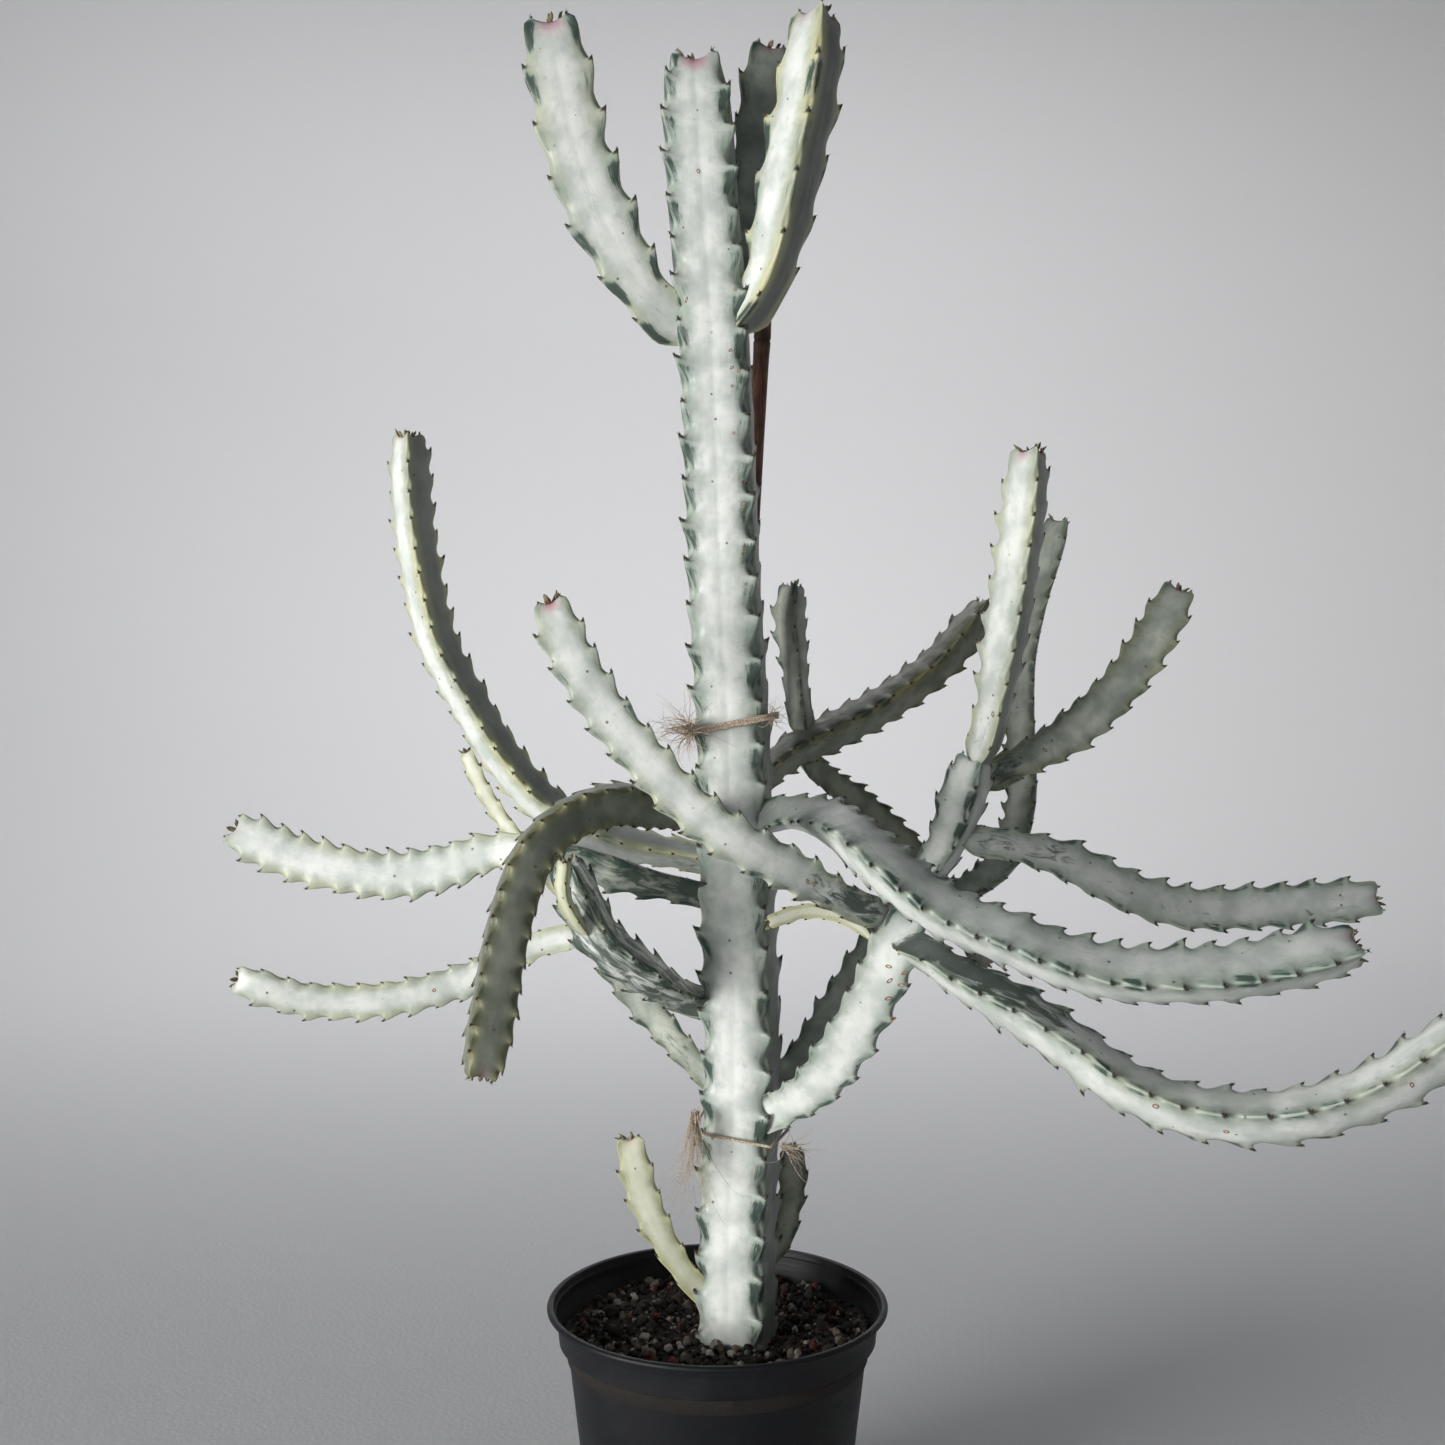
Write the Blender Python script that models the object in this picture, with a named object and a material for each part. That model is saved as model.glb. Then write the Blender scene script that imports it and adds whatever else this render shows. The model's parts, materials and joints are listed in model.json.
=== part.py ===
"""White ghost euphorbia, tied to a bamboo cane, in a round nursery pot.

The origin is the centre of the pot's underside. +Z is up and -Y is the front. Metres.
Stem points are (right, back, height over the soil) in millimetres for a plant 650 mm tall.
"""

import math

import bmesh
import bpy
from mathutils import Vector

POT_HEIGHT = 0.130
RIM_RADIUS = 0.085
BASE_RADIUS = 0.0615
POT_WALL = 0.0015
COLLAR_HEIGHT = 0.018
SOIL_BELOW_RIM = 0.012
PLANT_HEIGHT = 0.650
MAIN_STEM_RADIUS = 0.027
TOOTH_DEPTH = 0.26
FACE_DEPTH = {3: 0.50, 4: 0.62}
CANE_RADIUS = 0.0045
TIE_THICKNESS = 0.0028
GAP = 0.0005
TURNS = 40

SOIL_TOP = POT_HEIGHT - SOIL_BELOW_RIM
GROWTH = PLANT_HEIGHT / 0.650

SKIN_WHITE = (0.78, 0.82, 0.77, 1)
SKIN_GREY = (0.42, 0.47, 0.42, 1)
SKIN_YELLOW = (0.72, 0.70, 0.48, 1)

# name: (grows from, ribs, tip radius of a rib over the main stem's, tooth spacing in mm,
#        turn of the ribs in degrees at root and tip, colour, points)
STEMS = {
    "main_stem": (None, 4, 1.00, 19.5, (26, 45), SKIN_WHITE, [
        (10, -13, -48), (10, -13, -10), (10, -14, 41), (12, -15, 115), (12, -15, 164),
        (10, -15, 213), (9, -15, 263), (7, -15, 312), (4, -15, 361), (2, -15, 410),
        (0, -15, 459), (-3, -15, 508), (-7, -15, 558), (-10, -15, 602), (-11, -15, 624),
    ]),
    "crown_left": ("main_stem", 3, 0.85, 25, (52, 61), SKIN_WHITE, [
        (-11, -15, 486), (-27, -20, 501), (-41, -24, 518), (-55, -27, 544),
        (-66, -29, 571), (-72, -30, 595), (-77, -31, 618), (-80, -32, 636),
    ]),
    "crown_right": ("main_stem", 3, 0.81, 27, (7, 5), SKIN_WHITE, [
        (5, -17, 489), (19, -28, 506), (27, -34, 523), (32, -38, 544), (38, -40, 573),
        (44, -42, 603), (48, -43, 636),
    ]),
    "crown_back": ("main_stem", 3, 0.71, 22, (75, 71), SKIN_GREY, [
        (0, -12, 512), (11, 18, 547), (18, 30, 581), (22, 36, 617), (27, 40, 654),
    ]),
    "left_tall_stem": ("main_stem", 3, 0.56, 14, (2, 7), SKIN_GREY, [
        (7, -12, 230), (-16, 2, 234), (-46, 10, 239), (-72, 14, 248), (-93, 15, 263),
        (-112, 15, 286), (-128, 14, 313), (-142, 12, 340), (-150, 9, 374),
        (-154, 5, 408), (-155, 1, 444),
    ]),
    "left_high_limb": ("main_stem", 3, 0.50, 15, (36, 36), SKIN_GREY, [
        (10, -15, 214), (-13, -24, 220), (-34, -30, 225), (-56, -33, 232),
        (-80, -33, 238),
    ]),
    "left_upper_arm": ("left_high_limb", 3, 0.60, 12, (66, 71), SKIN_WHITE, [
        (-68, -33, 234), (-91, -26, 238), (-111, -20, 237), (-131, -16, 230),
        (-157, -12, 225), (-182, -9, 227), (-208, -6, 233), (-233, -3, 243),
        (-240, -2, 247),
    ]),
    "left_middle_limb": ("main_stem", 3, 0.58, 17, (22, 17), SKIN_WHITE, [
        (12, -12, 163), (-11, -18, 165), (-32, -48, 182), (-52, -64, 201),
        (-62, -68, 220), (-68, -70, 235),
    ]),
    "left_mid_stub": ("left_middle_limb", 3, 0.24, 11, (21, 17), SKIN_YELLOW, [
        (-58, -64, 200), (-64, -82, 213), (-68, -90, 225), (-67, -94, 239),
    ]),
    "left_low_limb": ("main_stem", 3, 0.44, 14, (59, 58), SKIN_GREY, [
        (12, -14, 109), (-2, -8, 123), (-16, -2, 136), (-28, 4, 149), (-41, 8, 164),
        (-53, 11, 180), (-64, 13, 196), (-75, 14, 212),
    ]),
    "left_lower_arm": ("left_low_limb", 3, 0.47, 13, (57, 64), SKIN_WHITE, [
        (-62, 13, 190), (-78, 18, 191), (-97, 22, 185), (-118, 25, 173),
        (-139, 26, 165), (-164, 25, 159), (-190, 24, 157), (-215, 22, 159),
        (-237, 20, 166), (-246, 20, 169),
    ]),
    "left_low_shoot": ("left_low_limb", 3, 0.24, 11, (49, 49), SKIN_YELLOW, [
        (-75, 14, 206), (-90, 22, 226), (-102, 30, 239), (-112, 35, 250),
        (-123, 38, 266), (-132, 40, 285),
    ]),
    "front_drooping_arm": ("main_stem", 4, 0.52, 10.5, (41, 29), SKIN_GREY, [
        (7, -22, 250), (-13, -48, 257), (-31, -71, 262), (-47, -91, 264),
        (-64, -108, 258), (-77, -121, 245), (-84, -130, 226), (-88, -138, 207),
        (-91, -142, 187), (-94, -146, 168), (-96, -148, 157),
    ]),
    "right_front_limb": ("main_stem", 3, 0.62, 15, (43, 51), SKIN_WHITE, [
        (12, -16, 104), (30, -31, 115), (47, -50, 131), (61, -62, 154), (74, -66, 179),
        (82, -68, 199), (88, -68, 212),
    ]),
    "crossing_stem": ("right_front_limb", 3, 0.52, 14.5, (65, 64), SKIN_WHITE, [
        (81, -65, 211), (64, -75, 217), (48, -86, 226), (32, -98, 236), (9, -109, 249),
        (-10, -111, 263), (-31, -111, 285), (-49, -110, 307), (-64, -109, 332),
        (-72, -108, 352),
    ]),
    "inner_stub": ("right_front_limb", 3, 0.24, 10, (55, 57), SKIN_YELLOW, [
        (73, -62, 199), (60, -56, 210), (42, -54, 213), (24, -56, 208),
    ]),
    "right_low_arm": ("right_front_limb", 3, 0.57, 15, (13, -31), SKIN_WHITE, [
        (80, -70, 201), (94, -94, 196), (105, -108, 190), (127, -124, 179),
        (148, -136, 166), (165, -145, 154), (185, -154, 146), (204, -163, 144),
        (224, -171, 146), (242, -177, 152), (260, -183, 162), (277, -188, 175),
        (293, -192, 188),
    ]),
    "right_sweeping_arm": ("main_stem", 3, 0.62, 13.5, (16, 2), SKIN_WHITE, [
        (12, -20, 246), (29, -34, 255), (44, -58, 256), (57, -91, 251), (72, -116, 238),
        (90, -127, 224), (106, -137, 216), (121, -147, 211), (140, -157, 204),
        (160, -165, 200), (180, -171, 200), (200, -176, 202), (219, -180, 206),
        (233, -183, 210), (246, -185, 214),
    ]),
    "right_back_limb": ("main_stem", 3, 0.54, 15, (26, 31), SKIN_GREY, [
        (16, -10, 112), (37, 12, 123), (55, 28, 140), (69, 38, 159), (81, 43, 176),
        (92, 45, 192), (104, 46, 206),
    ]),
    "right_fork_limb": ("right_back_limb", 4, 0.63, 16, (11, 11), SKIN_WHITE, [
        (97, 45, 201), (109, 42, 219), (118, 36, 234), (123, 31, 247), (127, 27, 262),
        (133, 25, 281),
    ]),
    "right_back_stem": ("right_back_limb", 3, 0.50, 11.5, (19, 20), SKIN_GREY, [
        (95, 46, 199), (120, 64, 204), (146, 82, 212), (164, 92, 228), (172, 97, 254),
        (173, 99, 280), (172, 100, 305), (173, 101, 336), (179, 102, 366),
        (187, 103, 392), (194, 104, 414),
    ]),
    "right_tall_stem": ("right_fork_limb", 3, 0.64, 17, (6, 6), SKIN_WHITE, [
        (131, 26, 274), (138, 20, 290), (141, 16, 304), (145, 12, 328), (149, 9, 354),
        (153, 7, 383), (156, 5, 409), (158, 4, 437),
    ]),
    "right_slanting_stem": ("right_fork_limb", 3, 0.60, 14, (53, 48), SKIN_GREY, [
        (130, 28, 266), (156, 44, 278), (186, 54, 293), (214, 60, 317), (234, 64, 343),
        (250, 66, 372),
    ]),
    "right_arching_arm": ("right_fork_limb", 3, 0.58, 16, (48, 42), SKIN_WHITE, [
        (121, 32, 245), (137, 31, 238), (154, 30, 236), (181, 28, 228), (208, 26, 214),
        (236, 24, 205), (263, 22, 204), (291, 20, 206), (318, 19, 208), (337, 18, 210),
    ]),
    "back_slanting_stem": ("main_stem", 3, 0.56, 14.5, (-3, -9), SKIN_GREY, [
        (10, -12, 261), (36, 22, 284), (62, 38, 297), (89, 52, 311), (115, 64, 329),
        (133, 72, 347), (147, 78, 365),
    ]),
    "back_upright_stem": ("back_slanting_stem", 3, 0.48, 12.5, (7, 7), SKIN_GREY, [
        (47, 28, 289), (43, 40, 312), (41, 44, 334), (39, 46, 355), (40, 48, 373),
    ]),
    "back_hanging_stem": ("back_slanting_stem", 3, 0.47, 13, (41, 43), SKIN_GREY, [
        (41, 26, 284), (57, 56, 271), (74, 78, 258), (93, 96, 242), (113, 108, 222),
        (134, 116, 193), (155, 120, 161),
    ]),
    "base_left_shoot": ("main_stem", 3, 0.42, 14, (64, 57), SKIN_YELLOW, [
        (5, -16, 11), (-13, -22, 30), (-26, -24, 50), (-35, -25, 70), (-40, -26, 89),
        (-42, -26, 99),
    ]),
    "base_right_shoot": ("main_stem", 3, 0.42, 13, (45, 57), SKIN_GREY, [
        (15, -8, 29), (32, 12, 38), (37, 18, 53), (39, 20, 70), (38, 20, 81),
    ]),
}


def clear_scene():
    for item in list(bpy.data.objects):
        bpy.data.objects.remove(item, do_unlink=True)


def plain_material(name, colour, roughness):
    material = bpy.data.materials.new(name)
    material.use_nodes = True
    shader = material.node_tree.nodes["Principled BSDF"]
    shader.inputs["Base Color"].default_value = colour
    shader.inputs["Roughness"].default_value = roughness
    return material


def place_mesh(name, build, material=None):
    mesh = bpy.data.meshes.new(name)
    bmesh.ops.recalc_face_normals(build, faces=build.faces)
    build.to_mesh(mesh)
    build.free()
    item = bpy.data.objects.new(name, mesh)
    bpy.context.scene.collection.objects.link(item)
    if material is None:
        item.hide_render = True
        item.display_type = "WIRE"
    else:
        mesh.materials.append(material)
    return item


def cut_away(item, cutter):
    cut = item.modifiers.new("fit_to_" + cutter.name, "BOOLEAN")
    cut.operation = "DIFFERENCE"
    cut.solver = "EXACT"
    cut.object = cutter


def ease(value):
    value = min(max(value, 0.0), 1.0)
    return value * value * (3 - 2 * value)


def smooth_line(points, step):
    """Points every step along a curve that passes through the given points."""
    ends = [points[0] * 2 - points[1]] + points + [points[-1] * 2 - points[-2]]
    fine = []
    for a, b, c, d in zip(ends, ends[1:], ends[2:], ends[3:]):
        for part in range(24):
            t = part / 24
            fine.append(
                0.5 * (b * 2 + (c - a) * t + (a * 2 - b * 5 + c * 4 - d) * t * t
                       + (b * 3 - a - c * 3 + d) * t * t * t)
            )
    fine.append(points[-1])
    lengths = [0.0]
    for a, b in zip(fine, fine[1:]):
        lengths.append(lengths[-1] + (b - a).length)
    count = max(2, round(lengths[-1] / step))
    line = []
    at = 0
    for part in range(count + 1):
        want = lengths[-1] * part / count
        while at < len(fine) - 2 and lengths[at + 1] < want:
            at += 1
        share = (want - lengths[at]) / (lengths[at + 1] - lengths[at])
        line.append(fine[at].lerp(fine[at + 1], share))
    return line, lengths[-1]


def stem_points(name):
    return [
        Vector((x * GROWTH, y * GROWTH, z * GROWTH)) / 1000 + Vector((0, 0, SOIL_TOP))
        for x, y, z in STEMS[name][6]
    ]


def stem_shape(name, grown=0.0):
    """A ribbed stem: each rib runs out to a tooth and dives in to a notch above it."""
    grows_from, ribs, size, pitch, turns = STEMS[name][:5]
    tip = MAIN_STEM_RADIUS * size
    line, length = smooth_line(stem_points(name), 0.002)
    step = length / (len(line) - 1)
    teeth = max(3, round(length / (pitch / 1000)))
    spacing = length / teeth
    neck = 0.070 if grows_from else 0.0
    stops = []
    for tooth in range(teeth):
        stops.append((tooth * spacing, 0.0 if tooth == 0 else 1.0))
        stops.append(((tooth + 0.32) * spacing, 0.0))
    stops.append((length, 0.4))

    def frame_at(run):
        run = min(max(run, 0.0), length)
        at = min(int(run / step), len(line) - 2)
        spot = line[at].lerp(line[at + 1], run / step - at)
        before = line[max(at - 3, 0)]
        after = line[min(at + 4, len(line) - 1)]
        ahead = (after - before).normalized()
        front = Vector((0, -1, 0))
        front = (front - ahead * front.dot(ahead)).normalized()
        return spot, front, ahead.cross(front)

    build = bmesh.new()
    rings = []
    for number, (run, tooth) in enumerate(stops):
        staggered = 1 < number < len(stops) - 3
        ring = []
        for column in range(ribs * 2):
            along = run
            if staggered and column // 2 % 2:
                along += spacing * 0.5
            spot, front, side = frame_at(along)
            wide = tip
            if neck:
                wide *= 0.62 + 0.38 * ease((along - 0.010) / neck)
            if grows_from:
                wide *= 0.25 + 0.75 * ease(along / 0.016)
            end = (length - along) / (1.3 * tip)
            if end < 1:
                wide *= 0.50 + 0.50 * math.sqrt(max(0.0, 1 - (1 - end) ** 2))
            bite = TOOTH_DEPTH * (ease((along - 0.014) / 0.03) if neck else 1.0)
            if column % 2:
                wide *= FACE_DEPTH[ribs]
            else:
                wide *= 1 - bite * (1 - tooth)
            angle = turns[0] + (turns[1] - turns[0]) * along / length
            angle = math.radians(angle + 180 * column / ribs)
            reach = wide + grown
            ring.append(build.verts.new(
                spot + front * math.cos(angle) * reach + side * math.sin(angle) * reach
            ))
        rings.append(ring)
    for low, high in zip(rings, rings[1:]):
        for column in range(len(low)):
            after = (column + 1) % len(low)
            one, two = (column, after) if column % 2 else (after, column)
            build.faces.new((low[one], low[two], high[one]))
            build.faces.new((low[two], high[two], high[one]))
    build.faces.new(rings[0][::-1])
    build.faces.new(rings[-1])
    return build


def round_body(name, profile, material, turns=TURNS):
    """A closed body turned about Z from (radius, height) points, axis to axis."""
    build = bmesh.new()
    rows = []
    for radius, height in profile:
        if radius == 0:
            rows.append([build.verts.new((0, 0, height))] * turns)
            continue
        rows.append([
            build.verts.new((
                radius * math.cos(2 * math.pi * part / turns),
                radius * math.sin(2 * math.pi * part / turns),
                height,
            ))
            for part in range(turns)
        ])
    for low, high in zip(rows, rows[1:]):
        for part in range(turns):
            after = (part + 1) % turns
            corners = dict.fromkeys((low[part], low[after], high[after], high[part]))
            build.faces.new(list(corners))
    item = place_mesh(name, build, material)
    item.data.shade_smooth()
    return item


def rod_shape(start, end, radius, sides):
    build = bmesh.new()
    bmesh.ops.create_cone(
        build, cap_ends=True, segments=sides,
        radius1=radius, radius2=radius, depth=(end - start).length,
    )
    turn = (end - start).to_track_quat("Z", "Y").to_matrix().to_4x4()
    turn.translation = (start + end) / 2
    bmesh.ops.transform(build, matrix=turn, verts=build.verts)
    return build


def cane_at(height):
    share = (height - CANE_FOOT.z) / (CANE_TOP.z - CANE_FOOT.z)
    return CANE_FOOT.lerp(CANE_TOP, share)


def stem_at(height):
    """The main stem's centre at a height, and how far its ribs are turned there."""
    line, length = smooth_line(stem_points("main_stem"), 0.004)
    turns = STEMS["main_stem"][4]
    place = min(range(len(line)), key=lambda at: abs(line[at].z - height))
    return line[place], turns[0] + (turns[1] - turns[0]) * place / (len(line) - 1)


def tie_shape(height, slope):
    """A cord drawn tight round the main stem's ribs and the cane, as a closed loop."""
    thick = TIE_THICKNESS / 2
    centre, turn = stem_at(height)
    around = []
    ribs = STEMS["main_stem"][1]
    discs = []
    for rib in range(ribs):
        angle = math.radians(turn + 360 * rib / ribs)
        spot = centre + Vector((math.sin(angle), -math.cos(angle), 0)) * MAIN_STEM_RADIUS
        discs.append((spot, thick + GAP))
    discs.append((cane_at(height), CANE_RADIUS + thick + GAP))
    for spot, radius in discs:
        for part in range(16):
            angle = math.radians(22.5 * part)
            around.append((
                spot.x + radius * math.cos(angle), spot.y + radius * math.sin(angle),
            ))
    loop = outline(around)
    build = bmesh.new()
    rings = []
    for number, (x, y) in enumerate(loop):
        before = Vector(loop[number - 1])
        after = Vector(loop[(number + 1) % len(loop)])
        ahead = (after - before).normalized()
        out = Vector((ahead.y, -ahead.x, 0))
        spot = Vector((x, y, height + slope * (x - centre.x)))
        ring = []
        for part in range(6):
            angle = math.radians(60 * part)
            shift = out * math.cos(angle) * thick + Vector((0, 0, math.sin(angle) * thick))
            ring.append(build.verts.new(spot + shift))
        rings.append(ring)
    for number, ring in enumerate(rings):
        after = rings[(number + 1) % len(rings)]
        for part in range(6):
            build.faces.new((
                ring[part], ring[(part + 1) % 6], after[(part + 1) % 6], after[part],
            ))
    return build


def outline(points):
    """The corners of the tightest convex line round the points, counter-clockwise."""
    points = sorted(set(points))
    sides = []
    for run in (points, points[::-1]):
        side = []
        for point in run:
            while len(side) > 1:
                (ax, ay), (bx, by) = side[-2:]
                if (bx - ax) * (point[1] - ay) - (by - ay) * (point[0] - ax) > 1e-9:
                    break
                side.pop()
            side.append(point)
        sides += side[:-1]
    return sides


clear_scene()

pot_black = plain_material("black_nursery_plastic", (0.012, 0.012, 0.014, 1), 0.45)
inner = RIM_RADIUS - 0.0035
step_radius = RIM_RADIUS - 0.006
body_radius = RIM_RADIUS - 0.010
collar_foot = POT_HEIGHT - COLLAR_HEIGHT
floor_top = 0.0015
round_body("pot", [
    (0, 0),
    (BASE_RADIUS, 0),
    (body_radius, collar_foot),
    (step_radius, collar_foot + 0.0005),
    (RIM_RADIUS - 0.0044, POT_HEIGHT - 0.003),
    (RIM_RADIUS, POT_HEIGHT - 0.0025),
    (RIM_RADIUS, POT_HEIGHT - 0.0008),
    (RIM_RADIUS - 0.0008, POT_HEIGHT),
    (inner + 0.0005, POT_HEIGHT),
    (inner, POT_HEIGHT - 0.0008),
    (step_radius - POT_WALL, collar_foot + 0.003),
    (body_radius - POT_WALL, collar_foot - 0.002),
    (BASE_RADIUS - POT_WALL, floor_top),
    (0, floor_top),
], pot_black)
CANE_FOOT = Vector((-0.012, 0.022, SOIL_TOP - 0.085))
CANE_TOP = Vector((0.024, 0.025, SOIL_TOP + 0.515 * GROWTH))
bamboo = plain_material("weathered_bamboo", (0.15, 0.06, 0.035, 1), 0.55)
place_mesh("bamboo_stake", rod_shape(CANE_FOOT, CANE_TOP, CANE_RADIUS, 16), bamboo)
lean = (CANE_TOP - CANE_FOOT).normalized() * GAP
cane_cutter = place_mesh(
    "cane_cutter", rod_shape(CANE_FOOT - lean, CANE_TOP + lean, CANE_RADIUS + GAP, 16)
)

cutters = {}
for grower in dict.fromkeys(stem[0] for stem in STEMS.values() if stem[0]):
    cutters[grower] = place_mesh(grower + "_cutter", stem_shape(grower, GAP * 2))
for name, stem in STEMS.items():
    skin = plain_material("skin_of_" + name, stem[5], 0.5)
    body = place_mesh(name, stem_shape(name), skin)
    if stem[0]:
        cut_away(body, cutters[stem[0]])

grit = plain_material("gritty_soil", (0.06, 0.045, 0.038, 1), 0.95)
bed = SOIL_TOP - POT_HEIGHT + COLLAR_HEIGHT
wall_gap = POT_WALL + GAP
bed_radius = step_radius - wall_gap - 0.0004
soil = round_body("soil", [
    (0, floor_top + GAP),
    (BASE_RADIUS - wall_gap - 0.0005, floor_top + GAP),
    (body_radius - wall_gap - 0.0003, collar_foot - 0.0025),
    (bed_radius, collar_foot + 0.0035),
    (bed_radius, SOIL_TOP - 0.0005),
    (bed_radius * 0.6, SOIL_TOP),
    (0, SOIL_TOP),
], grit)
cut_away(soil, cutters["main_stem"])
cut_away(soil, cane_cutter)

jute = plain_material("jute_twine", (0.43, 0.27, 0.18, 1), 0.9)
place_mesh("upper_tie", tie_shape(SOIL_TOP + 0.300 * GROWTH, 0.20), jute)
place_mesh("lower_tie", tie_shape(SOIL_TOP + 0.100 * GROWTH, -0.12), jute)
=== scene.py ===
"""White ghost euphorbia, tied to a bamboo cane, in a round nursery pot.

The origin is the centre of the pot's underside. +Z is up, -Y is the front. Metres.
The stems' points and tooth spacings are in millimetres.
"""

import math
import random

import bpy
import numpy as np
from mathutils import Matrix, Vector, noise
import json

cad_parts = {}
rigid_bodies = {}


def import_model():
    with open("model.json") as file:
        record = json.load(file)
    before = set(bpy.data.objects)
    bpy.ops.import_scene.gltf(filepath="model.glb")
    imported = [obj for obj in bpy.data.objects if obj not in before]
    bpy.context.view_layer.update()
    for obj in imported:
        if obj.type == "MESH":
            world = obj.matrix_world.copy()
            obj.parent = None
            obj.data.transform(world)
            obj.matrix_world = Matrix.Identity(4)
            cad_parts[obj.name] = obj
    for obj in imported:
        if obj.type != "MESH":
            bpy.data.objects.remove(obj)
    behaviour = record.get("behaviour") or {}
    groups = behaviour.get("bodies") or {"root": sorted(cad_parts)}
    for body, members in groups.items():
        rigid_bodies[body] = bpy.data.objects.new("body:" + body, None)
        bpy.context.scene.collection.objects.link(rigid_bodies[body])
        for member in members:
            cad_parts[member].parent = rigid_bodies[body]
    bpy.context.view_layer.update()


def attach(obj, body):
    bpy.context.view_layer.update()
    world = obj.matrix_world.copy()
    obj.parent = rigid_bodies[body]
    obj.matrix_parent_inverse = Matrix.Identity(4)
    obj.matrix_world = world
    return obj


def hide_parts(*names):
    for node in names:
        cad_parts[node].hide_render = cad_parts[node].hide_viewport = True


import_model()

MM = 0.001
RIM_RADIUS = 0.085
BASE_RADIUS = 0.0615
POT_HEIGHT = 0.130
COLLAR_HEIGHT = 0.018
SOIL_TOP = 0.118
MAIN_STEM_RADIUS = 0.027
TOOTH_DEPTH = 0.32
FACE_DEPTH = {3: 0.485, 4: 0.64}
CANE_FOOT = Vector((-0.012, 0.022, 0.033))
CANE_TOP = Vector((0.024, 0.025, 0.633))
CANE_RADIUS = 0.0045

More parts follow.
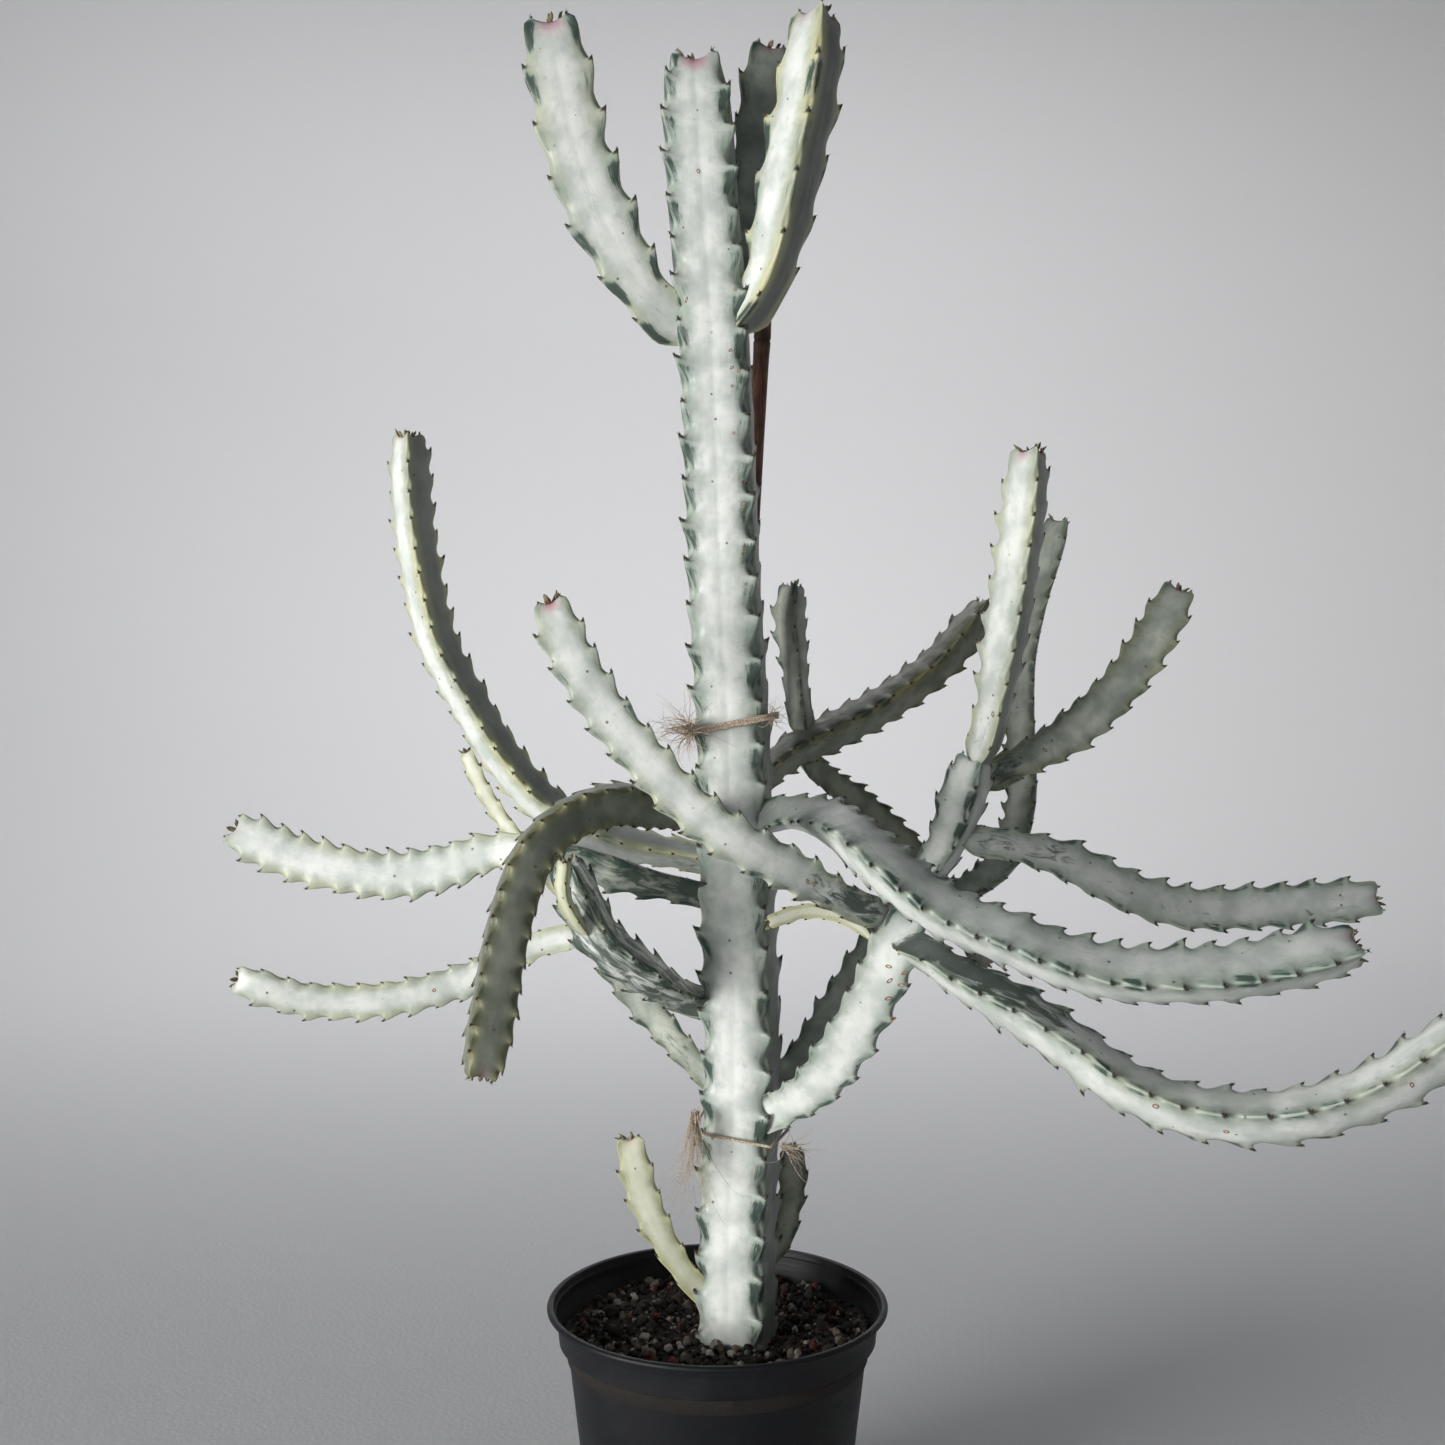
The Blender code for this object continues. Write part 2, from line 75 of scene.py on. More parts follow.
# name: (grows from, ribs, tip radius of a rib over the main stem's, tooth spacing,
#        turn of the ribs in degrees at root and tip, points (right, back, up))
STEMS = {
    "main_stem": (None, 4, 1.00, 19.5, (26, 45), [
        (10, -13, 70), (10, -13, 108), (10, -14, 159), (12, -15, 233), (12, -15, 282),
        (10, -15, 331), (9, -15, 381), (7, -15, 430), (4, -15, 479), (2, -15, 528), (0, -15, 577),
        (-3, -15, 626), (-7, -15, 676), (-10, -15, 720), (-11, -15, 742),
    ]),
    "crown_left": ("main_stem", 3, 0.85, 25, (52, 61), [
        (-11, -15, 604), (-27, -20, 619), (-41, -24, 636), (-55, -27, 662), (-66, -29, 689),
        (-72, -30, 713), (-77, -31, 736), (-80, -32, 754),
    ]),
    "crown_right": ("main_stem", 3, 0.81, 27, (7, 5), [
        (5, -17, 607), (19, -28, 624), (27, -34, 641), (32, -38, 662), (38, -40, 691),
        (44, -42, 721), (48, -43, 754),
    ]),
    "crown_back": ("main_stem", 3, 0.71, 22, (75, 71), [
        (0, -12, 630), (11, 18, 665), (18, 30, 699), (22, 36, 735), (27, 40, 772),
    ]),
    "left_tall_stem": ("main_stem", 3, 0.56, 14, (2, 7), [
        (7, -12, 348), (-16, 2, 352), (-46, 10, 357), (-72, 14, 366), (-93, 15, 381),
        (-112, 15, 404), (-128, 14, 431), (-142, 12, 458), (-150, 9, 492), (-154, 5, 526),
        (-155, 1, 562),
    ]),
    "left_high_limb": ("main_stem", 3, 0.50, 15, (36, 36), [
        (10, -15, 332), (-13, -24, 338), (-34, -30, 343), (-56, -33, 350), (-80, -33, 356),
    ]),
    "left_upper_arm": ("left_high_limb", 3, 0.60, 12, (66, 71), [
        (-68, -33, 352), (-91, -26, 356), (-111, -20, 355), (-131, -16, 348), (-157, -12, 343),
        (-182, -9, 345), (-208, -6, 351), (-233, -3, 361), (-240, -2, 365),
    ]),
    "left_middle_limb": ("main_stem", 3, 0.58, 17, (22, 17), [
        (12, -12, 281), (-11, -18, 283), (-32, -48, 300), (-52, -64, 319), (-62, -68, 338),
        (-68, -70, 353),
    ]),
    "left_mid_stub": ("left_middle_limb", 3, 0.24, 11, (21, 17), [
        (-58, -64, 318), (-64, -82, 331), (-68, -90, 343), (-67, -94, 357),
    ]),
    "left_low_limb": ("main_stem", 3, 0.44, 14, (59, 58), [
        (12, -14, 227), (-2, -8, 241), (-16, -2, 254), (-28, 4, 267), (-41, 8, 282), (-53, 11, 298),
        (-64, 13, 314), (-75, 14, 330),
    ]),
    "left_lower_arm": ("left_low_limb", 3, 0.47, 13, (57, 64), [
        (-62, 13, 308), (-78, 18, 309), (-97, 22, 303), (-118, 25, 291), (-139, 26, 283),
        (-164, 25, 277), (-190, 24, 275), (-215, 22, 277), (-237, 20, 284), (-246, 20, 287),
    ]),
    "left_low_shoot": ("left_low_limb", 3, 0.24, 11, (49, 49), [
        (-75, 14, 324), (-90, 22, 344), (-102, 30, 357), (-112, 35, 368), (-123, 38, 384),
        (-132, 40, 403),
    ]),
    "front_drooping_arm": ("main_stem", 4, 0.52, 10.5, (41, 29), [
        (7, -22, 368), (-13, -48, 375), (-31, -71, 380), (-47, -91, 382), (-64, -108, 376),
        (-77, -121, 363), (-84, -130, 344), (-88, -138, 325), (-91, -142, 305), (-94, -146, 286),
        (-96, -148, 275),
    ]),
    "right_front_limb": ("main_stem", 3, 0.62, 15, (43, 51), [
        (12, -16, 222), (30, -31, 233), (47, -50, 249), (61, -62, 272), (74, -66, 297),
        (82, -68, 317), (88, -68, 330),
    ]),
    "crossing_stem": ("right_front_limb", 3, 0.52, 14.5, (65, 64), [
        (81, -65, 329), (64, -75, 335), (48, -86, 344), (32, -98, 354), (9, -109, 367),
        (-10, -111, 381), (-31, -111, 403), (-49, -110, 425), (-64, -109, 450), (-72, -108, 470),
    ]),
    "inner_stub": ("right_front_limb", 3, 0.24, 10, (55, 57), [
        (73, -62, 317), (60, -56, 328), (42, -54, 331), (24, -56, 326),
    ]),
    "right_low_arm": ("right_front_limb", 3, 0.57, 15, (13, -31), [
        (80, -70, 319), (94, -94, 314), (105, -108, 308), (127, -124, 297), (148, -136, 284),
        (165, -145, 272), (185, -154, 264), (204, -163, 262), (224, -171, 264), (242, -177, 270),
        (260, -183, 280), (277, -188, 293), (293, -192, 306),
    ]),
    "right_sweeping_arm": ("main_stem", 3, 0.62, 13.5, (16, 2), [
        (12, -20, 364), (29, -34, 373), (44, -58, 374), (57, -91, 369), (72, -116, 356),
        (90, -127, 342), (106, -137, 334), (121, -147, 329), (140, -157, 322), (160, -165, 318),
        (180, -171, 318), (200, -176, 320), (219, -180, 324), (233, -183, 328), (246, -185, 332),
    ]),
    "right_back_limb": ("main_stem", 3, 0.54, 15, (26, 31), [
        (16, -10, 230), (37, 12, 241), (55, 28, 258), (69, 38, 277), (81, 43, 294), (92, 45, 310),
        (104, 46, 324),
    ]),
    "right_fork_limb": ("right_back_limb", 4, 0.63, 16, (11, 11), [
        (97, 45, 319), (109, 42, 337), (118, 36, 352), (123, 31, 365), (127, 27, 380),
        (133, 25, 399),
    ]),
    "right_back_stem": ("right_back_limb", 3, 0.50, 11.5, (19, 20), [
        (95, 46, 317), (120, 64, 322), (146, 82, 330), (164, 92, 346), (172, 97, 372),
        (173, 99, 398), (172, 100, 423), (173, 101, 454), (179, 102, 484), (187, 103, 510),
        (194, 104, 532),
    ]),
    "right_tall_stem": ("right_fork_limb", 3, 0.64, 17, (6, 6), [
        (131, 26, 392), (138, 20, 408), (141, 16, 422), (145, 12, 446), (149, 9, 472),
        (153, 7, 501), (156, 5, 527), (158, 4, 555),
    ]),
    "right_slanting_stem": ("right_fork_limb", 3, 0.60, 14, (53, 48), [
        (130, 28, 384), (156, 44, 396), (186, 54, 411), (214, 60, 435), (234, 64, 461),
        (250, 66, 490),
    ]),
    "right_arching_arm": ("right_fork_limb", 3, 0.58, 16, (48, 42), [
        (121, 32, 363), (137, 31, 356), (154, 30, 354), (181, 28, 346), (208, 26, 332),
        (236, 24, 323), (263, 22, 322), (291, 20, 324), (318, 19, 326), (337, 18, 328),
    ]),
    "back_slanting_stem": ("main_stem", 3, 0.56, 14.5, (-3, -9), [
        (10, -12, 379), (36, 22, 402), (62, 38, 415), (89, 52, 429), (115, 64, 447), (133, 72, 465),
        (147, 78, 483),
    ]),
    "back_upright_stem": ("back_slanting_stem", 3, 0.48, 12.5, (7, 7), [
        (47, 28, 407), (43, 40, 430), (41, 44, 452), (39, 46, 473), (40, 48, 491),
    ]),
    "back_hanging_stem": ("back_slanting_stem", 3, 0.47, 13, (41, 43), [
        (41, 26, 402), (57, 56, 389), (74, 78, 376), (93, 96, 360), (113, 108, 340),
        (134, 116, 311), (155, 120, 279),
    ]),
    "base_left_shoot": ("main_stem", 3, 0.42, 14, (64, 57), [
        (5, -16, 129), (-13, -22, 148), (-26, -24, 168), (-35, -25, 188), (-40, -26, 207),
        (-42, -26, 217),
    ]),
    "base_right_shoot": ("main_stem", 3, 0.42, 13, (45, 57), [
        (15, -8, 147), (32, 12, 156), (37, 18, 171), (39, 20, 188), (38, 20, 199),
    ]),
}

# name: (skin, green marbling, dark patches at the neck, yellow along the ribs)
# The shaded skin is painted shade: the pale skin darkened for stems that the light reaches less.
LOOKS = {
    "main_stem": ("pale_skin", 0.80, 0.0, 0.08),
    "crown_left": ("pale_skin", 1.00, 0.3, 0.35),
    "crown_right": ("pale_skin", 0.80, 0.0, 0.90),
    "crown_back": ("shaded_skin", 0.80, 0.2, 0.15),
    "left_tall_stem": ("pale_skin", 0.25, 0.5, 0.80),
    "left_high_limb": ("shaded_skin", 1.00, 0.9, 0.20),
    "left_upper_arm": ("pale_skin", 0.18, 0.1, 0.45),
    "left_middle_limb": ("pale_skin", 1.00, 0.85, 0.25),
    "left_mid_stub": ("young_skin", 0.15, 0.0, 0.70),
    "left_low_limb": ("shaded_skin", 0.70, 0.6, 0.30),
    "left_lower_arm": ("pale_skin", 0.15, 0.0, 0.50),
    "left_low_shoot": ("young_skin", 0.20, 0.0, 0.90),
    "front_drooping_arm": ("shaded_skin", 0.30, 0.5, 0.40),
    "right_front_limb": ("pale_skin", 0.70, 0.0, 0.10),
    "crossing_stem": ("pale_skin", 0.45, 0.75, 0.35),
    "inner_stub": ("young_skin", 0.10, 0.0, 1.00),
    "right_low_arm": ("pale_skin", 0.60, 1.00, 0.20),
    "right_sweeping_arm": ("pale_skin", 0.70, 0.3, 0.10),
    "right_back_limb": ("shaded_skin", 0.70, 0.3, 0.10),
    "right_fork_limb": ("pale_skin", 1.00, 0.8, 0.05),
    "right_back_stem": ("shaded_skin", 0.60, 0.3, 0.20),
    "right_tall_stem": ("pale_skin", 0.12, 0.4, 0.45),
    "right_slanting_stem": ("shaded_skin", 0.35, 0.6, 0.40),
    "right_arching_arm": ("pale_skin", 0.60, 0.5, 0.15),
    "back_slanting_stem": ("shaded_skin", 0.55, 0.5, 0.60),
    "back_upright_stem": ("shaded_skin", 0.60, 0.1, 0.15),
    "back_hanging_stem": ("shaded_skin", 0.60, 0.3, 0.15),
    "base_left_shoot": ("young_skin", 0.25, 0.0, 0.75),
    "base_right_shoot": ("shaded_skin", 0.50, 0.2, 0.10),
}

# How far the dark patches reach from the root where they don't reach COMMON_REACH, and the one
# face that has them where the others don't.
COMMON_REACH = 0.050
NECK_REACH = {"right_low_arm": 0.110, "crossing_stem": 0.060, "right_fork_limb": 0.040,
              "right_arching_arm": 0.090}
DARK_FACE = {"right_low_arm": 2}
# How thick the dark patches are along the whole of these.
PATCHES = {"left_middle_limb": 0.66, "left_high_limb": 0.64, "left_low_limb": 0.42,
           "back_slanting_stem": 0.30, "right_arching_arm": 0.34}

# Faces painted a darker green than the rest of their stem, as painted shade on faces turned from
# the light: (face counted from the front rib, how much).
# A face of -1 is every face.
PAINTED_SHADE_FACES = {"main_stem": (0, 0.75), "crown_right": (0, 0.80), "left_tall_stem": (0, 0.65),
           "right_tall_stem": (0, 0.65), "right_sweeping_arm": (2, 0.30),
           "right_arching_arm": (-1, 0.25), "front_drooping_arm": (-1, 0.40),
           "crown_back": (-1, 0.30), "crown_left": (-1, 0.10)}

# Stems whose skin is painted a darker olive grey, as painted shade for stems turned furthest from
# the light.
PAINTED_DEEP_SHADE_STEMS = {"front_drooping_arm", "back_slanting_stem", "back_hanging_stem", "base_right_shoot"}

# Limbs that go on in other stems, so that they have no growing end.
LIMBS = ("left_high_limb", "left_middle_limb", "left_low_limb", "right_front_limb",
         "right_back_limb", "right_fork_limb")

# How pink each growing end is flushed, where it isn't barely pink.
BARELY_PINK = 0.15
BLUSH = {"main_stem": 0.85, "crown_left": 0.70, "crown_right": 0.35, "crossing_stem": 0.75,
         "right_tall_stem": 0.55, "crown_back": 0.3, **dict.fromkeys(LIMBS, 0.0)}

# How many dry leaves sit at a growing end, where it isn't FEW_LEAVES.
FEW_LEAVES = 5
TUFTS = {"main_stem": 22, "crown_left": 12, "crown_back": 14, "right_tall_stem": 9,
         "crossing_stem": 12, "left_tall_stem": 10}

# Places of a tooth's rings as a share of the tooth spacing, close together at its tip.
RINGS = (0.0, 0.03, 0.075, 0.14, 0.22, 0.32, 0.43, 0.55, 0.67, 0.78, 0.875, 0.95)
# Places of the columns from the rib's edge (0) to the middle of the face (1).
COLUMNS = (0.0, 0.05, 0.13, 0.26, 0.45, 0.70, 0.93)
# Where the edge is deepest between two teeth, as a share of the tooth spacing.
DEEPEST = 0.36


# ---- small helpers -------------------------------------------------------------------


def linear(code):
    """A hex colour as the eye sees it, turned to the linear numbers that shaders take."""
    parts = [int(code[at:at + 2], 16) / 255 for at in (1, 3, 5)]
    return *(p / 12.92 if p <= 0.04045 else ((p + 0.055) / 1.055) ** 2.4 for p in parts), 1.0


def join(tree, node, links):
    """Each link or value goes to the node's input of that name or number."""
    for socket, value in dict(links).items():
        if isinstance(value, bpy.types.NodeSocket):
            tree.links.new(value, node.inputs[socket])
        else:
            node.inputs[socket].default_value = value


def put(tree, kind, links=(), **settings):
    """Adds one node and joins it up."""
    node = tree.nodes.new("ShaderNode" + kind)
    for name, value in settings.items():
        setattr(node, name, value)
    join(tree, node, links)
    return node


def add_object(name, data):
    """A new object that holds this mesh, curve, light or camera."""
    item = bpy.data.objects.new(name, data)
    bpy.context.scene.collection.objects.link(item)
    return item


def add_values(mesh, label, values):
    """Writes one number at every point, for the materials to read."""
    layer = mesh.attributes.new(label, "FLOAT", "POINT")
    layer.data.foreach_set("value", np.asarray(values, np.float32).reshape(-1))


def ease(value):
    """Runs from 0 to 1, level at both ends."""
    value = np.clip(value, 0.0, 1.0)
    return value * value * (3 - 2 * value)


def only(*pieces):
    """Selects these pieces and nothing else."""
    for item in bpy.context.view_layer.objects:
        item.select_set(item in pieces)
    bpy.context.view_layer.objects.active = pieces[0]


def finish_mesh(piece, merge):
    """Joins points closer than merge, turns the faces outward and shades them smooth."""
    only(piece)
    bpy.ops.object.mode_set(mode="EDIT")
    bpy.ops.mesh.select_all(action="SELECT")
    bpy.ops.mesh.remove_doubles(threshold=merge)
    bpy.ops.mesh.normals_make_consistent(inside=False)
    bpy.ops.object.mode_set(mode="OBJECT")
    bpy.ops.object.shade_smooth()


def dress(piece, material, slot, *nodes):
    """Gives a piece its material and the body it moves with, and hides the nodes that it stands in
    for. The slot is not used.
    """
    piece.data.materials.clear()
    piece.data.materials.append(material)
    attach(piece, "root")
    if nodes:
        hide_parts(*nodes)


# ---- materials -----------------------------------------------------------------------


def start_material(name):
    material = bpy.data.materials.new(name)
    material.use_nodes = True
    tree = material.node_tree
    return material, tree, tree.nodes["Principled BSDF"]


def mix(tree, share, one, two):
    return put(tree, "Mix", {0: share, 6: one, 7: two}, data_type="RGBA").outputs[2]


def step_between(tree, value, low, high):
    node = put(tree, "MapRange", {0: value, 1: low, 2: high}, interpolation_type="SMOOTHSTEP")
    return node.outputs[0]


def times(tree, one, two):
    return put(tree, "Math", {0: one, 1: two}, operation="MULTIPLY").outputs[0]


def plus(tree, one, two):
    return put(tree, "Math", {0: one, 1: two}, operation="ADD").outputs[0]


def tint(tree, base, share, most, code):
    """Lays a colour over the base, up to most of it where the share is 1."""
    return mix(tree, times(tree, share, most), base, linear(code))


def attribute(tree, name, kind="Fac"):
    return put(tree, "Attribute", attribute_name=name).outputs[kind]


def clouds(tree, where, scale, detail=2.0, rough=0.5, bent=0.0):
    """Soft noise."""
    return put(tree, "TexNoise", {"Vector": where, "Scale": scale, "Detail": detail,
                                  "Roughness": rough, "Distortion": bent}).outputs[0]


def emboss(tree, shader, height, strength, deep):
    bump = put(tree, "Bump", {"Height": height, "Strength": strength, "Distance": deep})
    tree.links.new(bump.outputs[0], shader.inputs["Normal"])


def euphorbia_skin(name, white, grey, green, yellow, dull):
    """Living stem skin of a ghost euphorbia: waxy and smooth, white where it has no green.

    The wax gives a soft sheen. Green shows through in streaks under each tooth, the growing
    ends are flushed pink, old marks are brown specks, and the ribs' edges turn cream.
    """
    material, tree, shader = start_material(name)
    here = put(tree, "TexCoord").outputs["Object"]
    along = put(tree, "UVMap", uv_map="skin_map").outputs[0]
    marks = put(tree, "SeparateXYZ", {0: attribute(tree, "marks", "Vector")})
    place = put(tree, "SeparateXYZ", {0: attribute(tree, "place", "Vector")})
    under_tooth, neck, tooth = marks.outputs
    edge, flush, cream = place.outputs

    # Streaks about 2 mm wide and 12 mm long, drawn out along the stem.
    drawn = put(tree, "Mapping", {"Vector": along, "Scale": (1.0, 0.20, 1.0)}).outputs[0]
    streak = clouds(tree, drawn, 420.0, detail=4.0, rough=0.62, bent=0.6)
    # Clouds of fainter green, about 15 mm across.
    cloud = clouds(tree, here, 62.0, detail=3.0)
    # Mottling about 5 mm across.
    mottle = clouds(tree, here, 190.0, detail=4.0, rough=0.6)
    base = mix(tree, step_between(tree, cloud, 0.36, 0.70), linear(white), linear(grey))
    base = tint(tree, base, step_between(tree, mottle, 0.50, 0.74), 0.45, grey)
    # Painted shade: the faces turned from the light are darkened all over to a dark green.
    base = mix(tree, attribute(tree, "face_painted_shade"), base, linear("#3F4740"))
    # The white thins out to a smoky grey green towards the ribs.
    shoulder = step_between(tree, plus(tree, edge, times(tree, mottle, 0.5)), 0.45, 1.20)
    base = tint(tree, base, shoulder, 0.72, green)
    # Yellow lies along the ribs.
    rib = times(tree, step_between(tree, edge, 0.30, 1.0), cream)
    base = tint(tree, base, rib, 0.9, yellow)
    # Dark green commas below the teeth, broken up by the streaks.
    lit = plus(tree, under_tooth, times(tree, streak, 0.85))
    soft = step_between(tree, lit, 0.56, 1.18)
    base = tint(tree, base, soft, 0.85, green)
    fleck = clouds(tree, drawn, 1050.0, detail=2.0)
    deep = plus(tree, lit, times(tree, fleck, 0.55))
    dark = step_between(tree, deep, 1.12, 1.42)
    base = tint(tree, base, dark, 0.88, "#33433B")
    # Necks and limbs: dark green patches about 7 mm wide and 17 mm long, with ragged edges.
    blot = put(tree, "Mapping", {"Vector": along, "Scale": (1.0, 0.42, 1.0)}).outputs[0]
    patch = clouds(tree, blot, 135.0, detail=5.0, rough=0.62, bent=1.3)
    band = step_between(tree, plus(tree, neck, times(tree, patch, 1.6)), 1.28, 1.62)
    base = tint(tree, base, band, 0.88, "#2E4238")
    # Specks of about 1 mm, scattered 10 mm apart.
    speck = put(tree, "TexVoronoi", {"Vector": here, "Scale": 135.0})
    dot = step_between(tree, speck.outputs["Distance"], 0.115, 0.075)
    kind = put(tree, "SeparateColor", {0: speck.outputs["Color"]}).outputs[0]
    seldom = step_between(tree, kind, 0.48, 0.53)
    base = tint(tree, base, times(tree, dot, seldom), 0.75, "#54443A")
    # Pink growing end, then the dark brown point of each tooth.
    base = mix(tree, flush, base, linear("#B9657C"))
    worn = step_between(tree, plus(tree, tooth, times(tree, mottle, 0.35)), 0.50, 0.80)
    base = tint(tree, base, worn, 0.92, "#33291F")

    rough = put(tree, "MapRange", {0: mottle, 1: 0.3, 2: 0.7, 3: dull - 0.08, 4: dull + 0.10})
    join(tree, shader, {
        "Base Color": base, "Roughness": rough.outputs[0], "IOR": 1.45, "Subsurface Weight": 0.06,
        "Subsurface Radius": (0.9, 1.0, 0.6), "Subsurface Scale": 0.002,
    })
    # Fine pimples of 0.7 mm over shallow lengthwise creases.
    fine = clouds(tree, here, 1300.0, detail=2.0)
    relief = plus(tree, times(tree, fine, 0.25), times(tree, streak, 0.8))
    emboss(tree, shader, relief, 0.30, 0.0006)
    return material


def thorn_brown():
    """Horny thorns and their cushions, dried by age: dark brown and slightly shiny."""
    material, tree, shader = start_material("dry_brown_thorn")
    here = put(tree, "TexCoord").outputs["Object"]
    patch = clouds(tree, here, 900.0, detail=2.0)
    colour = mix(tree, step_between(tree, patch, 0.4, 0.7), linear("#2C231D"), linear("#54443A"))
    join(tree, shader, {"Base Color": colour, "Roughness": 0.55})
    emboss(tree, shader, patch, 0.4, 0.0003)
    return material


def cork_scar():
    """Healed scars of cork: raised, matt, reddish brown and cracked."""
    material, tree, shader = start_material("healed_cork_scar")
    here = put(tree, "TexCoord").outputs["Object"]
    patch = clouds(tree, here, 1100.0, detail=4.0, rough=0.7)
    colour = mix(tree, step_between(tree, patch, 0.38, 0.66), linear("#8A5A48"), linear("#B79A86"))
    join(tree, shader, {"Base Color": colour, "Roughness": 0.85})
    emboss(tree, shader, patch, 0.6, 0.0004)
    return material


def dry_leaf():
    """Tiny leaves and bud scales at the growing ends, drying from green to papery brown."""
    material, tree, shader = start_material("dry_tip_leaf")
    here = put(tree, "TexCoord").outputs["Object"]
    patch = clouds(tree, here, 420.0, detail=3.0)
    colour = mix(tree, step_between(tree, patch, 0.35, 0.62), linear("#6B5644"), linear("#8E8F68"))
    pink = step_between(tree, clouds(tree, here, 260.0), 0.55, 0.66)
    colour = tint(tree, colour, pink, 0.7, "#8E4552")
    join(tree, shader, {"Base Color": colour, "Roughness": 0.7})
    return material


def pot_plastic():
    """Moulded polypropylene with a fine matt grain: a broad dull sheen, scuffed by handling."""
    material, tree, shader = start_material("moulded_black_polypropylene")
    here = put(tree, "TexCoord").outputs["Object"]
    # Scuffs 30 mm long and under 1 mm wide, mostly level round the pot.
    drawn = put(tree, "Mapping", {"Vector": here, "Scale": (1.0, 1.0, 14.0)}).outputs[0]
    scuff = clouds(tree, drawn, 60.0, detail=6.0, rough=0.7)
    dust = clouds(tree, here, 34.0, detail=5.0, rough=0.65)
    colour = mix(tree, times(tree, step_between(tree, scuff, 0.58, 0.72), 0.30),
                 linear("#0F1013"), linear("#36383D"))
    colour = tint(tree, colour, step_between(tree, dust, 0.50, 0.80), 0.22, "#33353A")
    rough = put(tree, "MapRange", {0: scuff, 1: 0.3, 2: 0.75, 3: 0.40, 4: 0.62})
    join(tree, shader, {"Base Color": colour, "Roughness": rough.outputs[0], "IOR": 1.49,
                        "Specular IOR Level": 0.32})
    grain = clouds(tree, here, 1800.0, detail=2.0)
    emboss(tree, shader, grain, 0.18, 0.0003)
    return material


def grit_mix():
    """Cactus grit: crushed pumice, tan gravel and red lava over dark fibre. Dry, matt and dusty."""
    material, tree, shader = start_material("pumice_and_lava_grit")
    here = put(tree, "TexCoord").outputs["Object"]
    ramp = put(tree, "ValToRGB", {0: attribute(tree, "stone")})
    ramp.color_ramp.interpolation = "CONSTANT"
    shades = ((0.0, "#1C1814"), (0.30, "#2E2621"), (0.50, "#4A4038"), (0.64, "#746A60"),
              (0.78, "#9B938A"), (0.88, "#C2BDB4"), (0.93, "#7E4634"), (0.97, "#5E2A22"))
    points = ramp.color_ramp.elements
    while len(points) < len(shades):
        points.new(0.5)
    for point, (at, code) in zip(points, shades):
        point.position = at
    for point, (at, code) in zip(points, shades):
        point.color = linear(code)
    patch = clouds(tree, here, 700.0, detail=4.0, rough=0.7)
    colour = mix(tree, times(tree, step_between(tree, patch, 0.40, 0.70), 0.55),
                 ramp.outputs[0], linear("#2A231E"))
    join(tree, shader, {"Base Color": colour, "Roughness": 0.92})
    emboss(tree, shader, patch, 0.7, 0.0006)
    return material


def cane_skin():
    """Split-dried bamboo, stained by weather: long fibres, a waxy rind worn through in places."""
    material, tree, shader = start_material("weathered_bamboo_rind")
    here = put(tree, "TexCoord").outputs["Object"]
    drawn = put(tree, "Mapping", {"Vector": here, "Scale": (1.0, 1.0, 0.05)}).outputs[0]
    fibre = clouds(tree, drawn, 1500.0, detail=4.0, rough=0.6)
    stain = clouds(tree, here, 45.0, detail=4.0)
    colour = mix(tree, step_between(tree, fibre, 0.35, 0.68), linear("#4A2C20"), linear("#7E5440"))
    colour = tint(tree, colour, step_between(tree, stain, 0.48, 0.66), 0.75, "#2A1B16")
    colour = tint(tree, colour, attribute(tree, "joint"), 0.85, "#1E1512")
    join(tree, shader, {"Base Color": colour, "Roughness": 0.48})
    emboss(tree, shader, fibre, 0.35, 0.0004)
    return material


def jute_yarn():
    """Spun jute: dull tan plant fibre, hairy, with darker and paler hairs side by side."""
    material, tree, shader = start_material("spun_jute_yarn")
    here = put(tree, "TexCoord").outputs["Object"]
    hair = clouds(tree, here, 1400.0, detail=3.0)
    colour = mix(tree, step_between(tree, hair, 0.36, 0.66), linear("#A38C74"), linear("#DACDBA"))
    join(tree, shader, {"Base Color": colour, "Roughness": 0.9, "Sheen Weight": 0.2})
    emboss(tree, shader, hair, 0.8, 0.0004)
    return material


# name: (material, white, grey, green, yellow, roughness)
SKINS = {name: euphorbia_skin(*look) for name, look in {
    # Painted shade: the pale skin darkened to olive grey, for stems turned furthest from the light.
    "deep_shade_skin": ("living_stem_skin_painted_deep_shade", "#9FA292", "#787C6E", "#454F42", "#B9B27C", 0.47),
    "pale_skin": ("waxy_white_stem_skin", "#E9ECE6", "#C6CDC6", "#7B8B80", "#DDD9A6", 0.40),
    # Painted shade: the pale skin darkened to grey, for stems that the light reaches less.
    "shaded_skin": ("waxy_stem_skin_painted_shade", "#BDC2B6", "#8E958A", "#54625A", "#C2BD8A", 0.45),
    "young_skin": ("waxy_yellow_shoot_skin", "#DEDECB", "#CBCEB4", "#7E8A66", "#D4D09C", 0.42),
}.items()}
THORN = thorn_brown()
CORK = cork_scar()
LEAF = dry_leaf()
POT = pot_plastic()
GRIT = grit_mix()
CANE = cane_skin()
JUTE = jute_yarn()


# ---- stems ---------------------------------------------------------------------------


